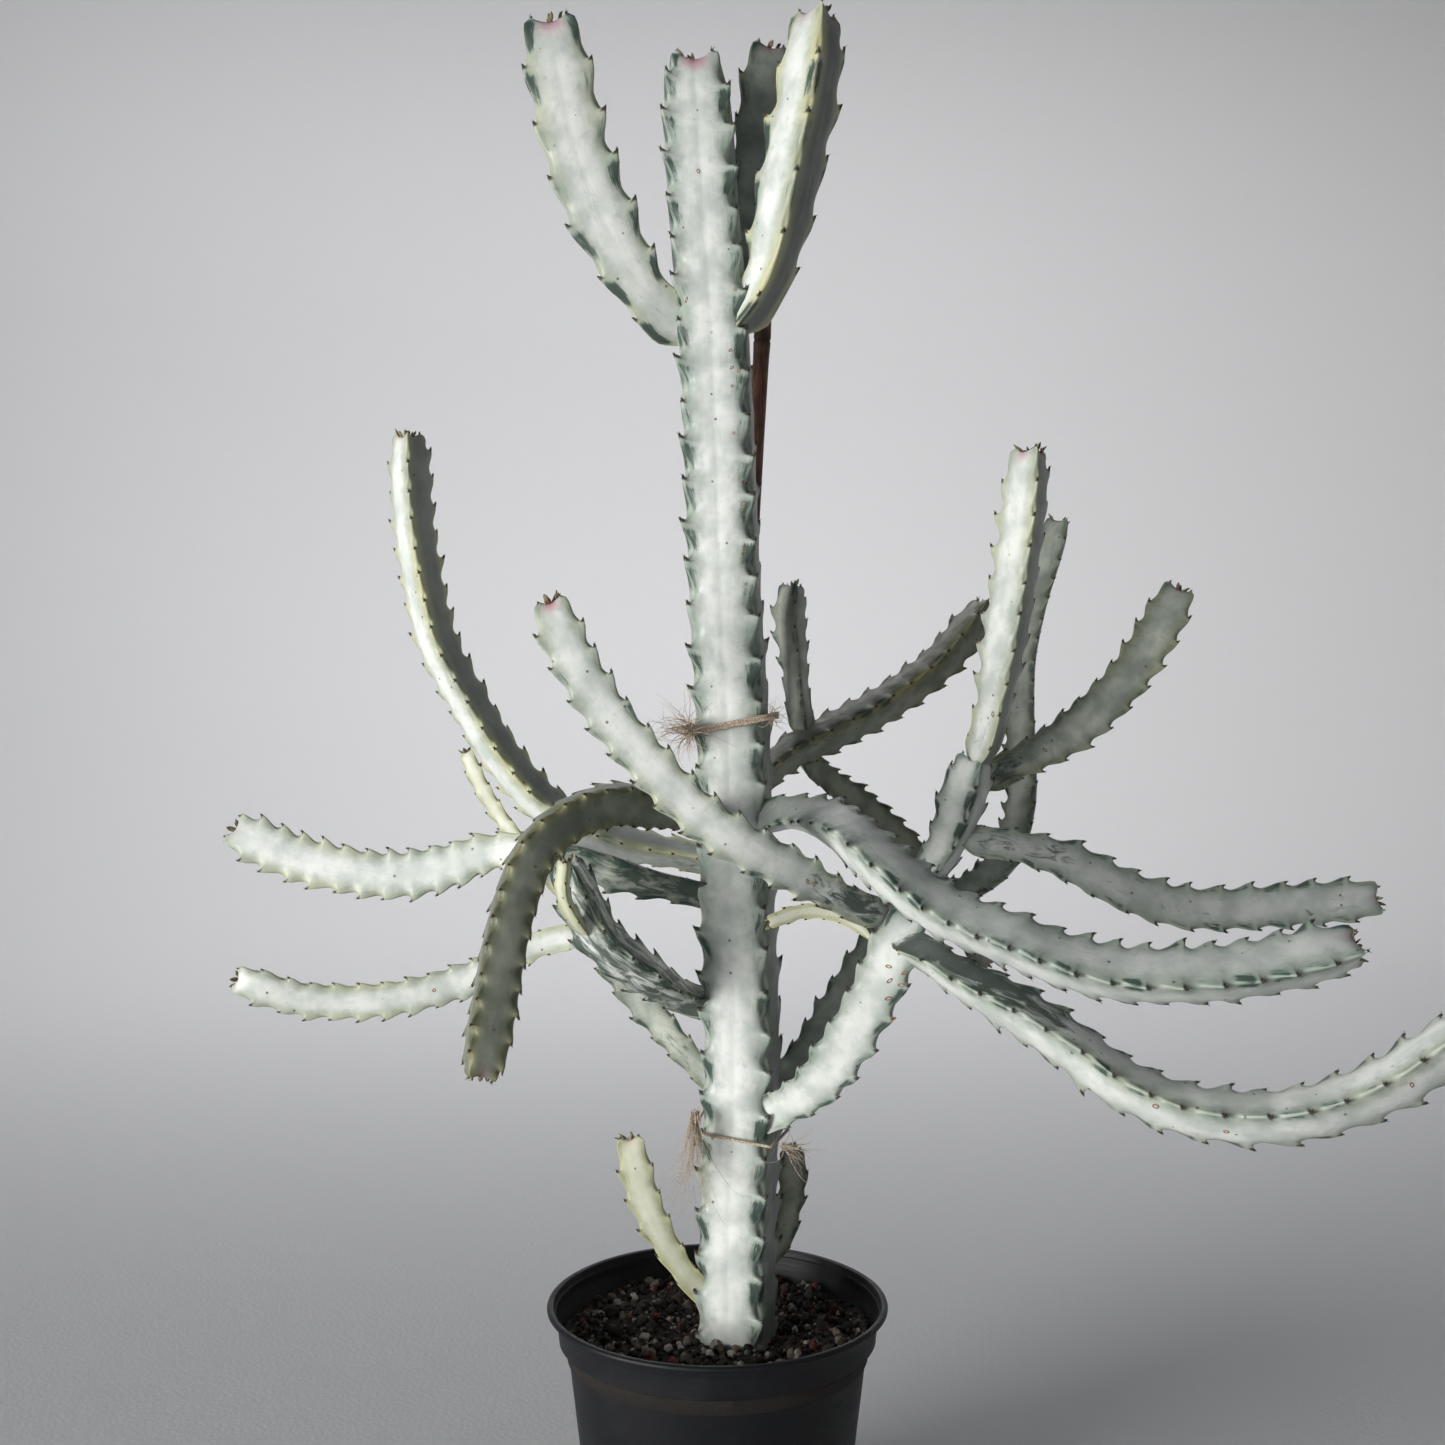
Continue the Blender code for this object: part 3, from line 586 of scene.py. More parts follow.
def smooth_line(points, step):
    """Points every step along a curve that passes through the given points."""
    points = [np.array(point, float) for point in points]
    ends = [points[0] * 2 - points[1]] + points + [points[-1] * 2 - points[-2]]
    fine = []
    for a, b, c, d in zip(ends, ends[1:], ends[2:], ends[3:]):
        for part in range(24):
            t = part / 24
            fine.append(0.5 * (b * 2 + (c - a) * t + (a * 2 - b * 5 + c * 4 - d) * t * t
                               + (b * 3 - a - c * 3 + d) * t * t * t))
    fine = np.array(fine + [points[-1]])
    lengths = np.concatenate([[0], np.cumsum(np.linalg.norm(np.diff(fine, axis=0), axis=1))])
    runs = np.linspace(0, lengths[-1], max(2, round(lengths[-1] / step)) + 1)
    return np.stack([np.interp(runs, lengths, fine[:, axis]) for axis in range(3)], 1), lengths[-1]


def unit(vectors):
    return vectors / np.maximum(np.linalg.norm(vectors, axis=-1, keepdims=True), 1e-12)


class StemLine:
    """A stem's middle line, and the way its front faces all along it."""

    def __init__(self, name):
        self.line, self.length = smooth_line([np.array(p) * MM for p in STEMS[name][5]], 0.002)
        count = len(self.line)
        before = np.clip(np.arange(count) - 3, 0, count - 1)
        after = np.clip(np.arange(count) + 4, 0, count - 1)
        self.ahead = unit(self.line[after] - self.line[before])
        self.runs = np.linspace(0, self.length, count)

    def at(self, run):
        """The spot this far along the stem, and the ways ahead, to the front and to the side."""
        run = np.clip(run, 0, self.length)
        spot = np.stack([np.interp(run, self.runs, self.line[:, axis]) for axis in range(3)], -1)
        ahead = [np.interp(run, self.runs, self.ahead[:, axis]) for axis in range(3)]
        ahead = unit(np.stack(ahead, -1))
        front = unit(np.array([0.0, -1.0, 0.0]) + ahead * ahead[..., 1:2])
        return spot, ahead, front, np.cross(ahead, front)


def lay_stem(name):
    """The points of a ribbed stem in rows from root to tip, with what its skin needs to know."""
    grows_from, ribs, size, pitch, turns = STEMS[name][:5]
    chance = np.random.default_rng(sum(map(ord, name)))
    stem = StemLine(name)
    length = stem.length
    tip = MAIN_STEM_RADIUS * size
    teeth = max(3, round(length / (pitch * MM)))
    spacing = length / teeth
    share = np.concatenate([np.add(RINGS, tooth) for tooth in range(teeth)] + [[teeth - 1e-4]])
    beside = list(COLUMNS) + [1.0] + [-part for part in COLUMNS[:0:-1]]
    columns = [(rib, part) for rib in range(ribs) for part in beside]
    columns.append((ribs, 0.0))
    rib_of = np.array([rib + (1 if part < 0 else 0) for rib, part in columns]) % ribs
    turn_of = np.array([rib + (1 if part < 0 else 0) for rib, part in columns])
    away = np.array([abs(part) for rib, part in columns])
    side_of = np.array([-1.0 if part < 0 else 1.0 for rib, part in columns])

    rows = share[:, None] * np.ones(len(columns))
    away = np.ones(len(share))[:, None] * away
    tooth = np.floor(rows).astype(int)
    phase = rows - tooth
    nearest = np.where(phase > 0.5, tooth + 1, tooth)
    off = np.abs(rows - nearest)

    # Each rib's teeth differ a little in place and reach.
    reach = 1 - 0.16 * chance.random((ribs, teeth + 2))
    slip = 0.16 * (chance.random((ribs, teeth + 2)) - 0.5)
    amount = 0.40 + 0.65 * chance.random((ribs, teeth + 2))
    slip[:, 0] = slip[:, teeth:] = 0
    lean = np.clip(1 - 2 * off, 0, 1)
    inner = ease(rows / 1.2) * ease((teeth - rows) / 1.3)
    odd = np.array([rib % 2 for rib in range(ribs)] + [0])
    own = odd[rib_of]
    other = odd[(turn_of + side_of.astype(int)) % ribs]
    stagger = own + (other - own) * 0.5 * away
    along = (rows + 0.5 * stagger * inner + slip[rib_of, nearest] * lean * inner) * spacing
    hook = (1 - away) ** 4 * np.exp(-(off / 0.08) ** 2) * ease(along / 0.02)
    along = along + 0.15 * spacing * hook

    left = length - along
    wide = np.full_like(along, tip)
    if grows_from:
        wide *= 0.62 + 0.38 * ease((along - 0.010) / 0.070)
        wide *= 0.25 + 0.75 * ease(along / 0.016)
    end = np.clip(left / (1.3 * tip), 0, 1)
    wide *= 0.50 + 0.50 * np.sqrt(np.maximum(0, 1 - (1 - end) ** 2))
    bite = TOOTH_DEPTH * (ease((along - 0.014) / 0.03) if grows_from else 1.0)
    dive = np.sin(np.clip(phase / DEEPEST, 0, 1) * math.pi / 2) ** 0.72
    climb = 1 - np.clip((phase - DEEPEST) / (1 - DEEPEST), 0, 1) ** 1.55
    valley = np.where(phase < DEEPEST, dive, climb)
    # Inside the edge the scallop softens to an even wave, so that no step runs into the face.
    sharp = np.exp(-(away / 0.13) ** 2)
    valley = valley * sharp + np.sin(math.pi * phase ** 0.85) ** 2 * (1 - sharp)
    short = (1 - reach[rib_of, nearest]) * lean ** 2 * bite / TOOTH_DEPTH
    crest = wide * (1 - bite * valley) * (1 - short)
    groove = FACE_DEPTH[ribs] * wide

    # Each half face is a soft hollow from the rib's edge to the middle of the face. Away from the
    # edge it follows the stem's mean width, so that it doesn't ripple with the teeth.
    half = math.pi / ribs
    normal_out, normal_across = math.cos(half), math.sin(half)
    mean = wide * (1 - 0.50 * bite)
    followed = mean + (crest - mean) * (1 - away) ** 3.4
    flat = followed * normal_out
    out = followed * (1 - away) + flat * normal_out * away
    across = flat * normal_across * away
    wave = np.cos(2 * math.pi * (phase - 0.12 + 0.35 * away))
    swell = 0.007 * wide * wave * np.sin(math.pi * away ** 0.9)
    crease = np.where(away == 1.0, 0.00025, 0.0) * ease((wide - 0.017) / 0.008)
    round_edge = 0.016 * wide * np.exp(-((away - 0.06) / 0.05) ** 2)
    hollow = -(flat - groove) * (1 - (1 - away) ** 2)
    shift = hollow + swell * ease(along / 0.03) - crease + round_edge
    out = out + shift * normal_out
    across = (across + np.where(away > 0, shift * normal_across, 0)) * side_of

    spot, ahead, front, side = stem.at(along)
    angle = np.radians(turns[0] + (turns[1] - turns[0]) * along / length + 360 * turn_of / ribs)
    cos, sin = np.cos(angle)[..., None], np.sin(angle)[..., None]
    ray = front * cos + side * sin
    beside_ray = -front * sin + side * cos
    points = spot + ray * out[..., None] + beside_ray * across[..., None]
    # Near the growing end the ribs run on a little past the middle of the faces.
    horn = (1 - ease(left / (1.1 * tip))) * (0.13 * (1 - away) ** 2 - 0.03 * away) * tip
    points = points + ahead * horn[..., None]

    tooth_mark = amount[rib_of, np.minimum(tooth + 1, teeth + 1)]
    climbed = np.clip((phase - 0.18) / 0.82, 0, 1)
    path = 0.80 + 0.06 * climbed
    bell = ease(climbed * 2.2) * (1 - 0.85 * ease((climbed - 0.86) / 0.14))
    spread = 0.15 + 0.13 * climbed
    under = np.exp(-((1 - away - path) / spread) ** 2) * bell * tooth_mark
    skin, marbling, neck, cream = LOOKS[name]
    reached = NECK_REACH.get(name, COMMON_REACH)
    fade = 1 - ease((along - 0.45 * reached) / reached)
    bands = neck * ease(along / 0.016) * fade * (0.75 + 0.25 * away)
    if name in DARK_FACE:
        bands = bands * (np.array([rib for rib, part in columns]) == DARK_FACE[name])
    bands = np.maximum(bands, PATCHES.get(name, 0.0) * ease(along / 0.016))
    point = (1 - away) ** 5 * np.exp(-(off / 0.050) ** 2)
    blush = BLUSH.get(name, BARELY_PINK)
    flush = (1 - ease(left / (0.42 * tip))) * ease((away - 0.25) / 0.6) * blush
    width = 2 * tip * math.sin(half)
    # Painted shade: how much each face is darkened for being turned from the light.
    face, face_painted_shade = PAINTED_SHADE_FACES.get(name, (-1, 0.0))
    face_painted_shade = np.array([face_painted_shade if face in (-1, rib) else 0.0 for rib, part in columns])
    face_painted_shade = np.ones(len(share))[:, None] * face_painted_shade
    marks = np.stack([under * (0.30 + 0.70 * marbling), bands, point], -1)
    places = np.stack([1 - away, flush, cream * (0.7 + 0.3 * np.sin(along * 60))], -1)
    around = (turn_of + 0.5 * away[0] * side_of) * width
    maps = np.stack([np.ones(len(share))[:, None] * around, along], -1)
    return {"name": name, "stem": stem, "points": points, "marks": marks, "places": places,
            "face_painted_shade": face_painted_shade, "maps": maps, "tip": tip, "teeth": teeth, "ribs": ribs,
            "length": length, "per_rib": len(beside), "ahead": ahead, "ray": ray}


def close_ends(layer, root, tip):
    """One row of values before the root and those past the tip, for the rows that close it."""
    return np.concatenate([root[None], layer, tip], 0)


def grow_skin(laid):
    """A stem's skin: a grid wrapped round the middle line, a row at each place along a tooth.

    A stem bends, turns and is toothed at once, which no row of edit-mode steps can give, so the
    grid's points are placed by their row and column.
    """
    points = laid["points"]
    tip_middle = points[-1, :-1].mean(0)
    ahead = laid["ahead"][-1, 0]
    inner = tip_middle + (points[-1] - tip_middle) * 0.62 - ahead * 0.05 * laid["tip"]
    core = tip_middle + (points[-1] - tip_middle) * 0.25 - ahead * 0.02 * laid["tip"]
    top = np.broadcast_to(tip_middle + ahead * 0.05 * laid["tip"], points[-1].shape)
    root = np.broadcast_to(points[0, :-1].mean(0), points[0].shape)
    points = close_ends(points, root, np.stack([inner, core, top]))
    pink = laid["places"][-1].copy()
    pink[:, 1] = np.maximum(pink[:, 1], 0.8 * BLUSH.get(laid["name"], BARELY_PINK))
    marks = close_ends(laid["marks"], laid["marks"][0], np.stack([laid["marks"][-1] * 0.3] * 3))
    places = close_ends(laid["places"], laid["places"][0], np.stack([pink, pink, pink]))
    maps = close_ends(laid["maps"], laid["maps"][0], np.stack([laid["maps"][-1]] * 3))

    rows, columns = points.shape[:2]
    bpy.ops.mesh.primitive_grid_add(x_subdivisions=columns - 1, y_subdivisions=rows - 1, size=1)
    piece = bpy.context.object
    piece.name = laid["name"] + "_skin"
    mesh = piece.data
    mesh.name = piece.name
    mesh.vertices.foreach_set("co", points.reshape(-1).astype(np.float32))
    while mesh.uv_layers:
        mesh.uv_layers.remove(mesh.uv_layers[0])
    corner = np.empty(len(mesh.loops), np.int32)
    mesh.loops.foreach_get("vertex_index", corner)
    chart = mesh.uv_layers.new(name="skin_map")
    chart.data.foreach_set("uv", maps.reshape(-1, 2)[corner].reshape(-1).astype(np.float32))
    for label, values in (("marks", marks), ("place", places)):
        layer = mesh.attributes.new(label, "FLOAT_VECTOR", "POINT")
        layer.data.foreach_set("vector", values.reshape(-1).astype(np.float32))
    # The painted shade of each face, for the skin to read.
    face_painted_shade = close_ends(laid["face_painted_shade"], laid["face_painted_shade"][0], np.stack([laid["face_painted_shade"][-1]] * 3))
    add_values(mesh, "face_painted_shade", face_painted_shade)
    finish_mesh(piece, merge=0.000004)
    return piece


def read_mesh(piece):
    mesh = piece.data
    points = np.empty(len(mesh.vertices) * 3, np.float32)
    mesh.vertices.foreach_get("co", points)
    return points.reshape(-1, 3).astype(float), [tuple(face.vertices) for face in mesh.polygons]


def repeat(name, pattern, places, values=None, label=None, smooth=True):
    """Copies of a small pattern, one at each place, as one piece. A place is a 3 by 4 matrix."""
    base, faces = pattern
    spots = [base @ place[:, :3].T + place[:, 3] for place in places]
    count = len(base)
    every = [tuple(corner + number * count for corner in face)
             for number in range(len(places)) for face in faces]
    mesh = bpy.data.meshes.new(name)
    mesh.from_pydata(np.concatenate(spots).tolist(), [], every)
    if values is not None:
        add_values(mesh, label, np.repeat(values, count))
    if smooth:
        mesh.shade_smooth()
    return add_object(name, mesh)


def pattern_of(piece):
    """The points and faces of a modelled pattern, which is then taken away."""
    found = read_mesh(piece)
    bpy.data.objects.remove(piece, do_unlink=True)
    return found


def thorn_pattern():
    """A tooth's point: a low dark cushion with two short thorns that part like horns. +Z is out."""
    bpy.ops.mesh.primitive_uv_sphere_add(segments=7, ring_count=4, radius=1.0)
    cushion = bpy.context.object
    bpy.ops.transform.resize(value=(0.85, 1.1, 0.75))
    bpy.ops.object.transform_apply(location=False, rotation=True, scale=True)
    thorns = []
    for turn in (-1, 1):
        bpy.ops.mesh.primitive_cone_add(vertices=5, radius1=0.40, radius2=0.0, depth=2.6,
                                        location=(0, 0, 1.3))
        thorn = bpy.context.object
        bpy.ops.object.transform_apply(location=True, rotation=True, scale=True)
        thorn.data.transform(Matrix.Rotation(math.radians(38 * turn), 4, "Y")
                             @ Matrix.Rotation(math.radians(-24), 4, "X"))
        thorns.append(thorn)
    only(cushion, *thorns)
    bpy.ops.object.join()
    return pattern_of(cushion)


def leaf_pattern():
    """A small keeled leaf, 1 long, with its foot at the origin. +Z runs up the leaf."""
    bpy.ops.mesh.primitive_grid_add(x_subdivisions=2, y_subdivisions=4, size=1.0)
    leaf = bpy.context.object
    for point in leaf.data.vertices:
        x, y = point.co.x, point.co.y + 0.5
        wide = 0.42 * math.sin(math.pi * min(y * 0.86 + 0.14, 1.0)) ** 0.8 + 0.04
        point.co = (x * 2 * wide * 0.5, 0.20 * y * y + 0.35 * abs(x) * wide, y)
    thick = leaf.modifiers.new("thickness", "SOLIDIFY")
    thick.thickness = 0.10
    only(leaf)
    bpy.ops.object.modifier_apply(modifier=thick.name)
    return pattern_of(leaf)


def scar_pattern():
    """An oval ring of cork, flat underneath, 2 across. +Z is out."""
    bpy.ops.mesh.primitive_torus_add(major_segments=12, minor_segments=5, major_radius=0.72,
                                     minor_radius=0.28)
    ring = bpy.context.object
    bpy.ops.transform.resize(value=(1.0, 0.72, 0.45))
    bpy.ops.object.transform_apply(location=False, rotation=True, scale=True)
    return pattern_of(ring)


def place_matrix(spot, out, up, scale):
    """Turns a pattern's +Z to out and its +Y to up, and moves it to the spot."""
    out = unit(out)
    up = unit(up - out * np.dot(up, out))
    right = np.cross(up, out)
    return np.column_stack([right * scale[0], up * scale[1], out * scale[2], spot])


def tooth_places(laid):
    """Where each tooth's cushion sits, and which way it points."""
    chance = np.random.default_rng(len(laid["name"]) * 7 + 3)
    rows = len(RINGS)
    places = []
    for rib in range(laid["ribs"]):
        column = rib * laid["per_rib"]
        for tooth in range(laid["teeth"] + 1):
            row = min(tooth * rows, len(laid["points"]) - 1)
            spot = laid["points"][row, column]
            run = laid["maps"][row, column, 1]
            hidden = run < 0.018 if STEMS[laid["name"]][0] else spot[2] < SOIL_TOP + 0.004
            if hidden:
                continue
            out, ahead = laid["ray"][row, column], laid["ahead"][row, column]
            size = 0.00046 + 0.00026 * laid["tip"] / MAIN_STEM_RADIUS
            size *= 0.8 + 0.45 * chance.random()
            way = out * 0.85 + ahead * 0.55
            places.append(place_matrix(spot - out * size * 0.9, way, ahead, (size, size, size)))
    return places


def tip_leaf_places(laid, count):
    """Where the dry leaves sit at a growing end. They point ahead and outward."""
    chance = np.random.default_rng(len(laid["name"]) * 11 + 5)
    middle = laid["points"][-1, :-1].mean(0)
    ahead, front, side = laid["ahead"][-1, 0], *laid["stem"].at(np.array(laid["length"]))[2:]
    places = []
    for number in range(count):
        turn = 2 * math.pi * chance.random()
        away = laid["tip"] * 0.30 * chance.random()
        ray = front * math.cos(turn) + side * math.sin(turn)
        size = (0.0026 + 0.0030 * chance.random()) * (0.75 + 0.5 * laid["tip"] / MAIN_STEM_RADIUS)
        way = ahead + ray * (0.15 + 0.9 * chance.random())
        spot = middle + ray * away - ahead * 0.0008
        places.append(place_matrix(spot, way, ray, (size, size, size)))
    return places


# Corky scars: stem, share of the way up its rows, share of the way round it, half its width and
# half its height in mm, turn in degrees.
SCARS = [
    ("main_stem", 0.792, 0.875, 1.9, 0.8, 0),
    ("main_stem", 0.905, 0.860, 0.9, 1.6, 10),
    ("main_stem", 0.812, 0.800, 1.6, 0.9, 60),
    ("main_stem", 0.783, 0.935, 1.0, 1.1, 30),
    ("main_stem", 0.770, 0.925, 1.1, 1.0, 30),
    ("main_stem", 0.765, 0.950, 1.2, 1.3, 70),
    ("main_stem", 0.755, 0.932, 0.8, 0.9, 0),
    ("main_stem", 0.722, 0.930, 0.8, 1.0, 20),
    ("main_stem", 0.690, 0.958, 1.0, 1.4, 20),
    ("main_stem", 0.668, 0.938, 0.9, 1.2, 50),
    ("main_stem", 0.640, 0.955, 1.2, 1.5, 50),
    ("main_stem", 0.612, 0.945, 0.9, 1.2, 80),
    ("main_stem", 0.826, 0.945, 0.8, 1.3, 10),
    ("right_front_limb", 0.760, 0.905, 1.9, 1.3, 40),
    ("right_front_limb", 0.810, 0.880, 1.7, 1.2, 60),
    ("right_front_limb", 0.800, 0.935, 1.8, 1.3, 20),
    ("right_front_limb", 0.850, 0.920, 1.7, 1.2, 50),
    ("right_front_limb", 0.850, 0.860, 1.6, 1.1, 10),
    ("right_front_limb", 0.890, 0.890, 1.5, 1.0, 30),
    ("right_front_limb", 0.700, 0.965, 1.6, 1.2, 30),
    ("crossing_stem", 0.255, 0.800, 1.5, 1.1, 70),
    ("crossing_stem", 0.235, 0.835, 1.4, 1.0, 30),
    ("right_tall_stem", 0.42, 0.700, 0.9, 1.2, 20),
    ("right_tall_stem", 0.22, 0.900, 1.0, 2.2, 15),
    ("right_low_arm", 0.52, 0.100, 1.4, 2.0, 70),
    ("right_low_arm", 0.60, 0.140, 1.3, 1.7, 40),
    ("right_low_arm", 0.86, 0.110, 0.8, 2.6, 85),
    ("right_low_arm", 0.98, 0.080, 1.0, 2.8, 80),
    ("right_slanting_stem", 0.30, 0.860, 1.5, 1.2, 30),
    ("left_lower_arm", 0.48, 0.840, 1.0, 1.4, 60),
]

thorns = thorn_pattern()
leaves = leaf_pattern()
scars = scar_pattern()
laid_stems = {}
for name in STEMS:
    laid = laid_stems[name] = lay_stem(name)
    skin = LOOKS[name][0]
    # Stems turned furthest from the light take the darkest skin, painted shade.
    living = SKINS["deep_shade_skin" if name in PAINTED_DEEP_SHADE_STEMS else skin]
    dress(grow_skin(laid), living, skin, name)
    dress(repeat(name + "_thorns", thorns, tooth_places(laid)), THORN, skin)
    if name not in LIMBS:
        tuft = tip_leaf_places(laid, TUFTS.get(name, FEW_LEAVES))
        dress(repeat(name + "_tip_leaves", leaves, tuft), LEAF, skin)


# ---- pot, grit and cane --------------------------------------------------------------


def turned(name, profile, steps):
    """A round body spun about Z from (radius, height) points that start and end on the axis."""
    mesh = bpy.data.meshes.new(name)
    points = [(radius, 0, height) for radius, height in profile]
    mesh.from_pydata(points, [(at, at + 1) for at in range(len(points) - 1)], [])
    piece = add_object(name, mesh)
    only(piece)
    bpy.ops.object.mode_set(mode="EDIT")
    bpy.ops.mesh.select_all(action="SELECT")
    bpy.ops.mesh.spin(steps=steps, angle=2 * math.pi, center=(0, 0, 0), axis=(0, 0, 1))
    bpy.ops.object.mode_set(mode="OBJECT")
    finish_mesh(piece, merge=0.00002)
    return piece


# The pot's outline: from the middle of its floor, up its outside, over the rim and back inside.
collar_foot = POT_HEIGHT - COLLAR_HEIGHT
B, H, R = BASE_RADIUS, POT_HEIGHT, RIM_RADIUS
pot = turned("pot_shell", [
    (0, 0.0022), (B - 0.010, 0.0022), (B - 0.0085, 0.0), (B - 0.0010, 0.0), (B, 0.0009),
    (B + 0.0006, 0.006), (R - 0.0105, collar_foot - 0.004), (R - 0.0100, collar_foot - 0.0006),
    (R - 0.0096, collar_foot), (R - 0.0066, collar_foot + 0.0001),
    (R - 0.0060, collar_foot + 0.0007), (R - 0.0058, collar_foot + 0.003),
    (R - 0.0046, H - 0.0046), (R - 0.0043, H - 0.0036), (R - 0.0036, H - 0.0030),
    (R - 0.0008, H - 0.0028), (R - 0.0001, H - 0.0022), (R, H - 0.0014), (R - 0.0003, H - 0.0006),
    (R - 0.0011, H - 0.0001), (R - 0.0022, H - 0.0001), (R - 0.0031, H - 0.0004),
    (R - 0.0035, H - 0.0012), (R - 0.0048, H - 0.0070), (R - 0.0074, H - 0.0150),
    (R - 0.0112, collar_foot - 0.001), (R - 0.0118, collar_foot - 0.004), (B - 0.0012, 0.0055),
    (B - 0.0025, 0.0036), (0, 0.0036),
], 144)
only(pot)
bpy.ops.object.shade_smooth_by_angle(angle=math.radians(40))
dress(pot, POT, "pot", "pot")

bed_radius = 0.0762
rings = [(bed_radius * (1 - at / 44), SOIL_TOP - 0.0012) for at in range(45)]
bed_foot = SOIL_TOP - 0.014
bed = turned("grit_bed", [(0, bed_foot), (bed_radius - 0.0012, bed_foot)] + rings, 120)
for point in bed.data.vertices:
    if point.co.z > SOIL_TOP - 0.01:
        lump = noise.noise(point.co * 55) * 0.0020 + noise.noise(point.co * 260) * 0.0012
        point.co.z += lump - 0.0012
add_values(bed.data, "stone", np.full(len(bed.data.vertices), 0.1))
dress(bed, GRIT, "soil", "soil")


def stone_pattern(detail, seed):
    """A crushed stone: a ball whose points are pushed in and out. It is 2 across."""
    bpy.ops.mesh.primitive_ico_sphere_add(subdivisions=detail, radius=1.0)
    stone = bpy.context.object
    for point in stone.data.vertices:
        point.co *= 1 + 0.38 * noise.noise(point.co * 1.3 + Vector((seed * 7.1, seed, 0)))
        point.co += Vector(noise.noise_vector(point.co * 2.3 + Vector((seed, 3, 5)))) * 0.16
    return pattern_of(stone)


def scatter_stones(name, detail, count, low, high, seed):
    """Stones of low to high metres across, clear of the main stem and the cane."""
    chance = np.random.default_rng(seed)
    places, kinds = [], []
    while len(places) < count:
        away = (bed_radius - 0.002) * math.sqrt(chance.random())
        turn = 2 * math.pi * chance.random()
        x, y = away * math.cos(turn), away * math.sin(turn)
        by_stem = math.hypot(x - 0.010, y + 0.013) < 0.017
        if by_stem or math.hypot(x + 0.007, y - 0.0222) < 0.006:
            continue
        size = (low + (high - low) * chance.random() ** 2) / 2
        way, up = unit(chance.normal(size=3)), unit(chance.normal(size=3))
        lift = noise.noise(Vector((x, y, SOIL_TOP)) * 55) * 0.0020 - 0.0024
        spot = np.array([x, y, SOIL_TOP + lift + size * (0.15 + 0.75 * chance.random())])
        places.append(place_matrix(spot, way, up, size * (0.7 + 0.5 * chance.random(3))))
        kinds.append(chance.random())
    piece = repeat(name, stone_pattern(detail, seed), places, kinds, "stone", smooth=False)
    dress(piece, GRIT, "soil")


scatter_stones("fine_grit", 1, 1500, 0.0014, 0.0034, 1)
scatter_stones("coarse_grit", 2, 330, 0.0028, 0.0058, 2)
scatter_stones("top_grit", 2, 150, 0.0030, 0.0066, 3)

cane_length = (CANE_TOP - CANE_FOOT).length
joints = (0.105, 0.285, 0.448, 0.585)
outline = [(0, 0), (CANE_RADIUS * 0.96, 0)]
for height in [step / 60 * cane_length for step in range(1, 60)]:
    if min(abs(height - joint) for joint in joints) > 0.008:
        outline.append((CANE_RADIUS * (0.95 + 0.03 * math.sin(height * 31)), height))
for joint in joints:
    for shift, grown in (
        (-0.007, 0.95), (-0.004, 0.98), (-0.002, 1.0), (-0.0012, 0.93), (-0.0004, 0.92),
        (0.0005, 1.0), (0.0020, 1.0), (0.0045, 0.975), (0.0075, 0.95),
    ):
        outline.append((CANE_RADIUS * grown, joint + shift))
outline = sorted(set(outline), key=lambda point: (point[1], point[0]))
outline += [(CANE_RADIUS * 0.93, cane_length - 0.0003), (CANE_RADIUS * 0.85, cane_length),
            (CANE_RADIUS * 0.52, cane_length - 0.0002), (CANE_RADIUS * 0.45, cane_length - 0.009),
            (0, cane_length - 0.009)]
cane = turned("bamboo_cane", outline, 28)
add_values(cane.data, "joint", [
    max(math.exp(-((point.co.z - joint) / 0.0035) ** 2) for joint in joints)
    for point in cane.data.vertices
])
turn = (CANE_TOP - CANE_FOOT).to_track_quat("Z", "Y").to_matrix().to_4x4()
turn.translation = CANE_FOOT
cane.data.transform(turn)
dress(cane, CANE, "bamboo", "bamboo_stake")


# ---- twine ---------------------------------------------------------------------------


def strands(name, lines, ring=False):
    """Thin round strands, each a line of (points, radius), as one piece. A ring is closed."""
    shape = bpy.data.curves.new(name, "CURVE")
    shape.dimensions = "3D"
    shape.bevel_depth = 1.0
    shape.bevel_resolution = 1 if ring else 0
    shape.use_fill_caps = not ring
    shape.resolution_u = 2
    for points, radius in lines:
        spline = shape.splines.new("POLY")
        spline.points.add(len(points) - 1)
        for number, point in enumerate(points):
            taper = 1.0 if ring else 1 - 0.75 * number / (len(points) - 1)
            spline.points[number].co = (*point, 1)
            spline.points[number].radius = radius * taper
        spline.use_cyclic_u = ring
    only(add_object(name, shape))
    bpy.ops.object.convert(target="MESH")
    piece = bpy.context.object
    piece.data.shade_smooth()
    return piece


def around(spots):
    """The tightest line round circles of (x, y, radius), in even steps."""
    dots = sorted({(x + r * math.cos(a), y + r * math.sin(a))
                   for x, y, r in spots for a in np.linspace(0, 2 * math.pi, 33)[:-1]})
    hull = []
    for run in (dots, dots[::-1]):
        side = []
        for dot in run:
            while len(side) > 1:
                (ax, ay), (bx, by) = side[-2:]
                if (bx - ax) * (dot[1] - ay) - (by - ay) * (dot[0] - ax) > 1e-9:
                    break
                side.pop()
            side.append(dot)
        hull += side[:-1]
    hull = np.array(hull + hull[:1])
    runs = np.concatenate([[0], np.cumsum(np.linalg.norm(np.diff(hull, axis=0), axis=1))])
    even = np.linspace(0, runs[-1], round(runs[-1] / 0.0012) + 1)[:-1]
    return np.stack([np.interp(even, runs, hull[:, axis]) for axis in (0, 1)], 1)


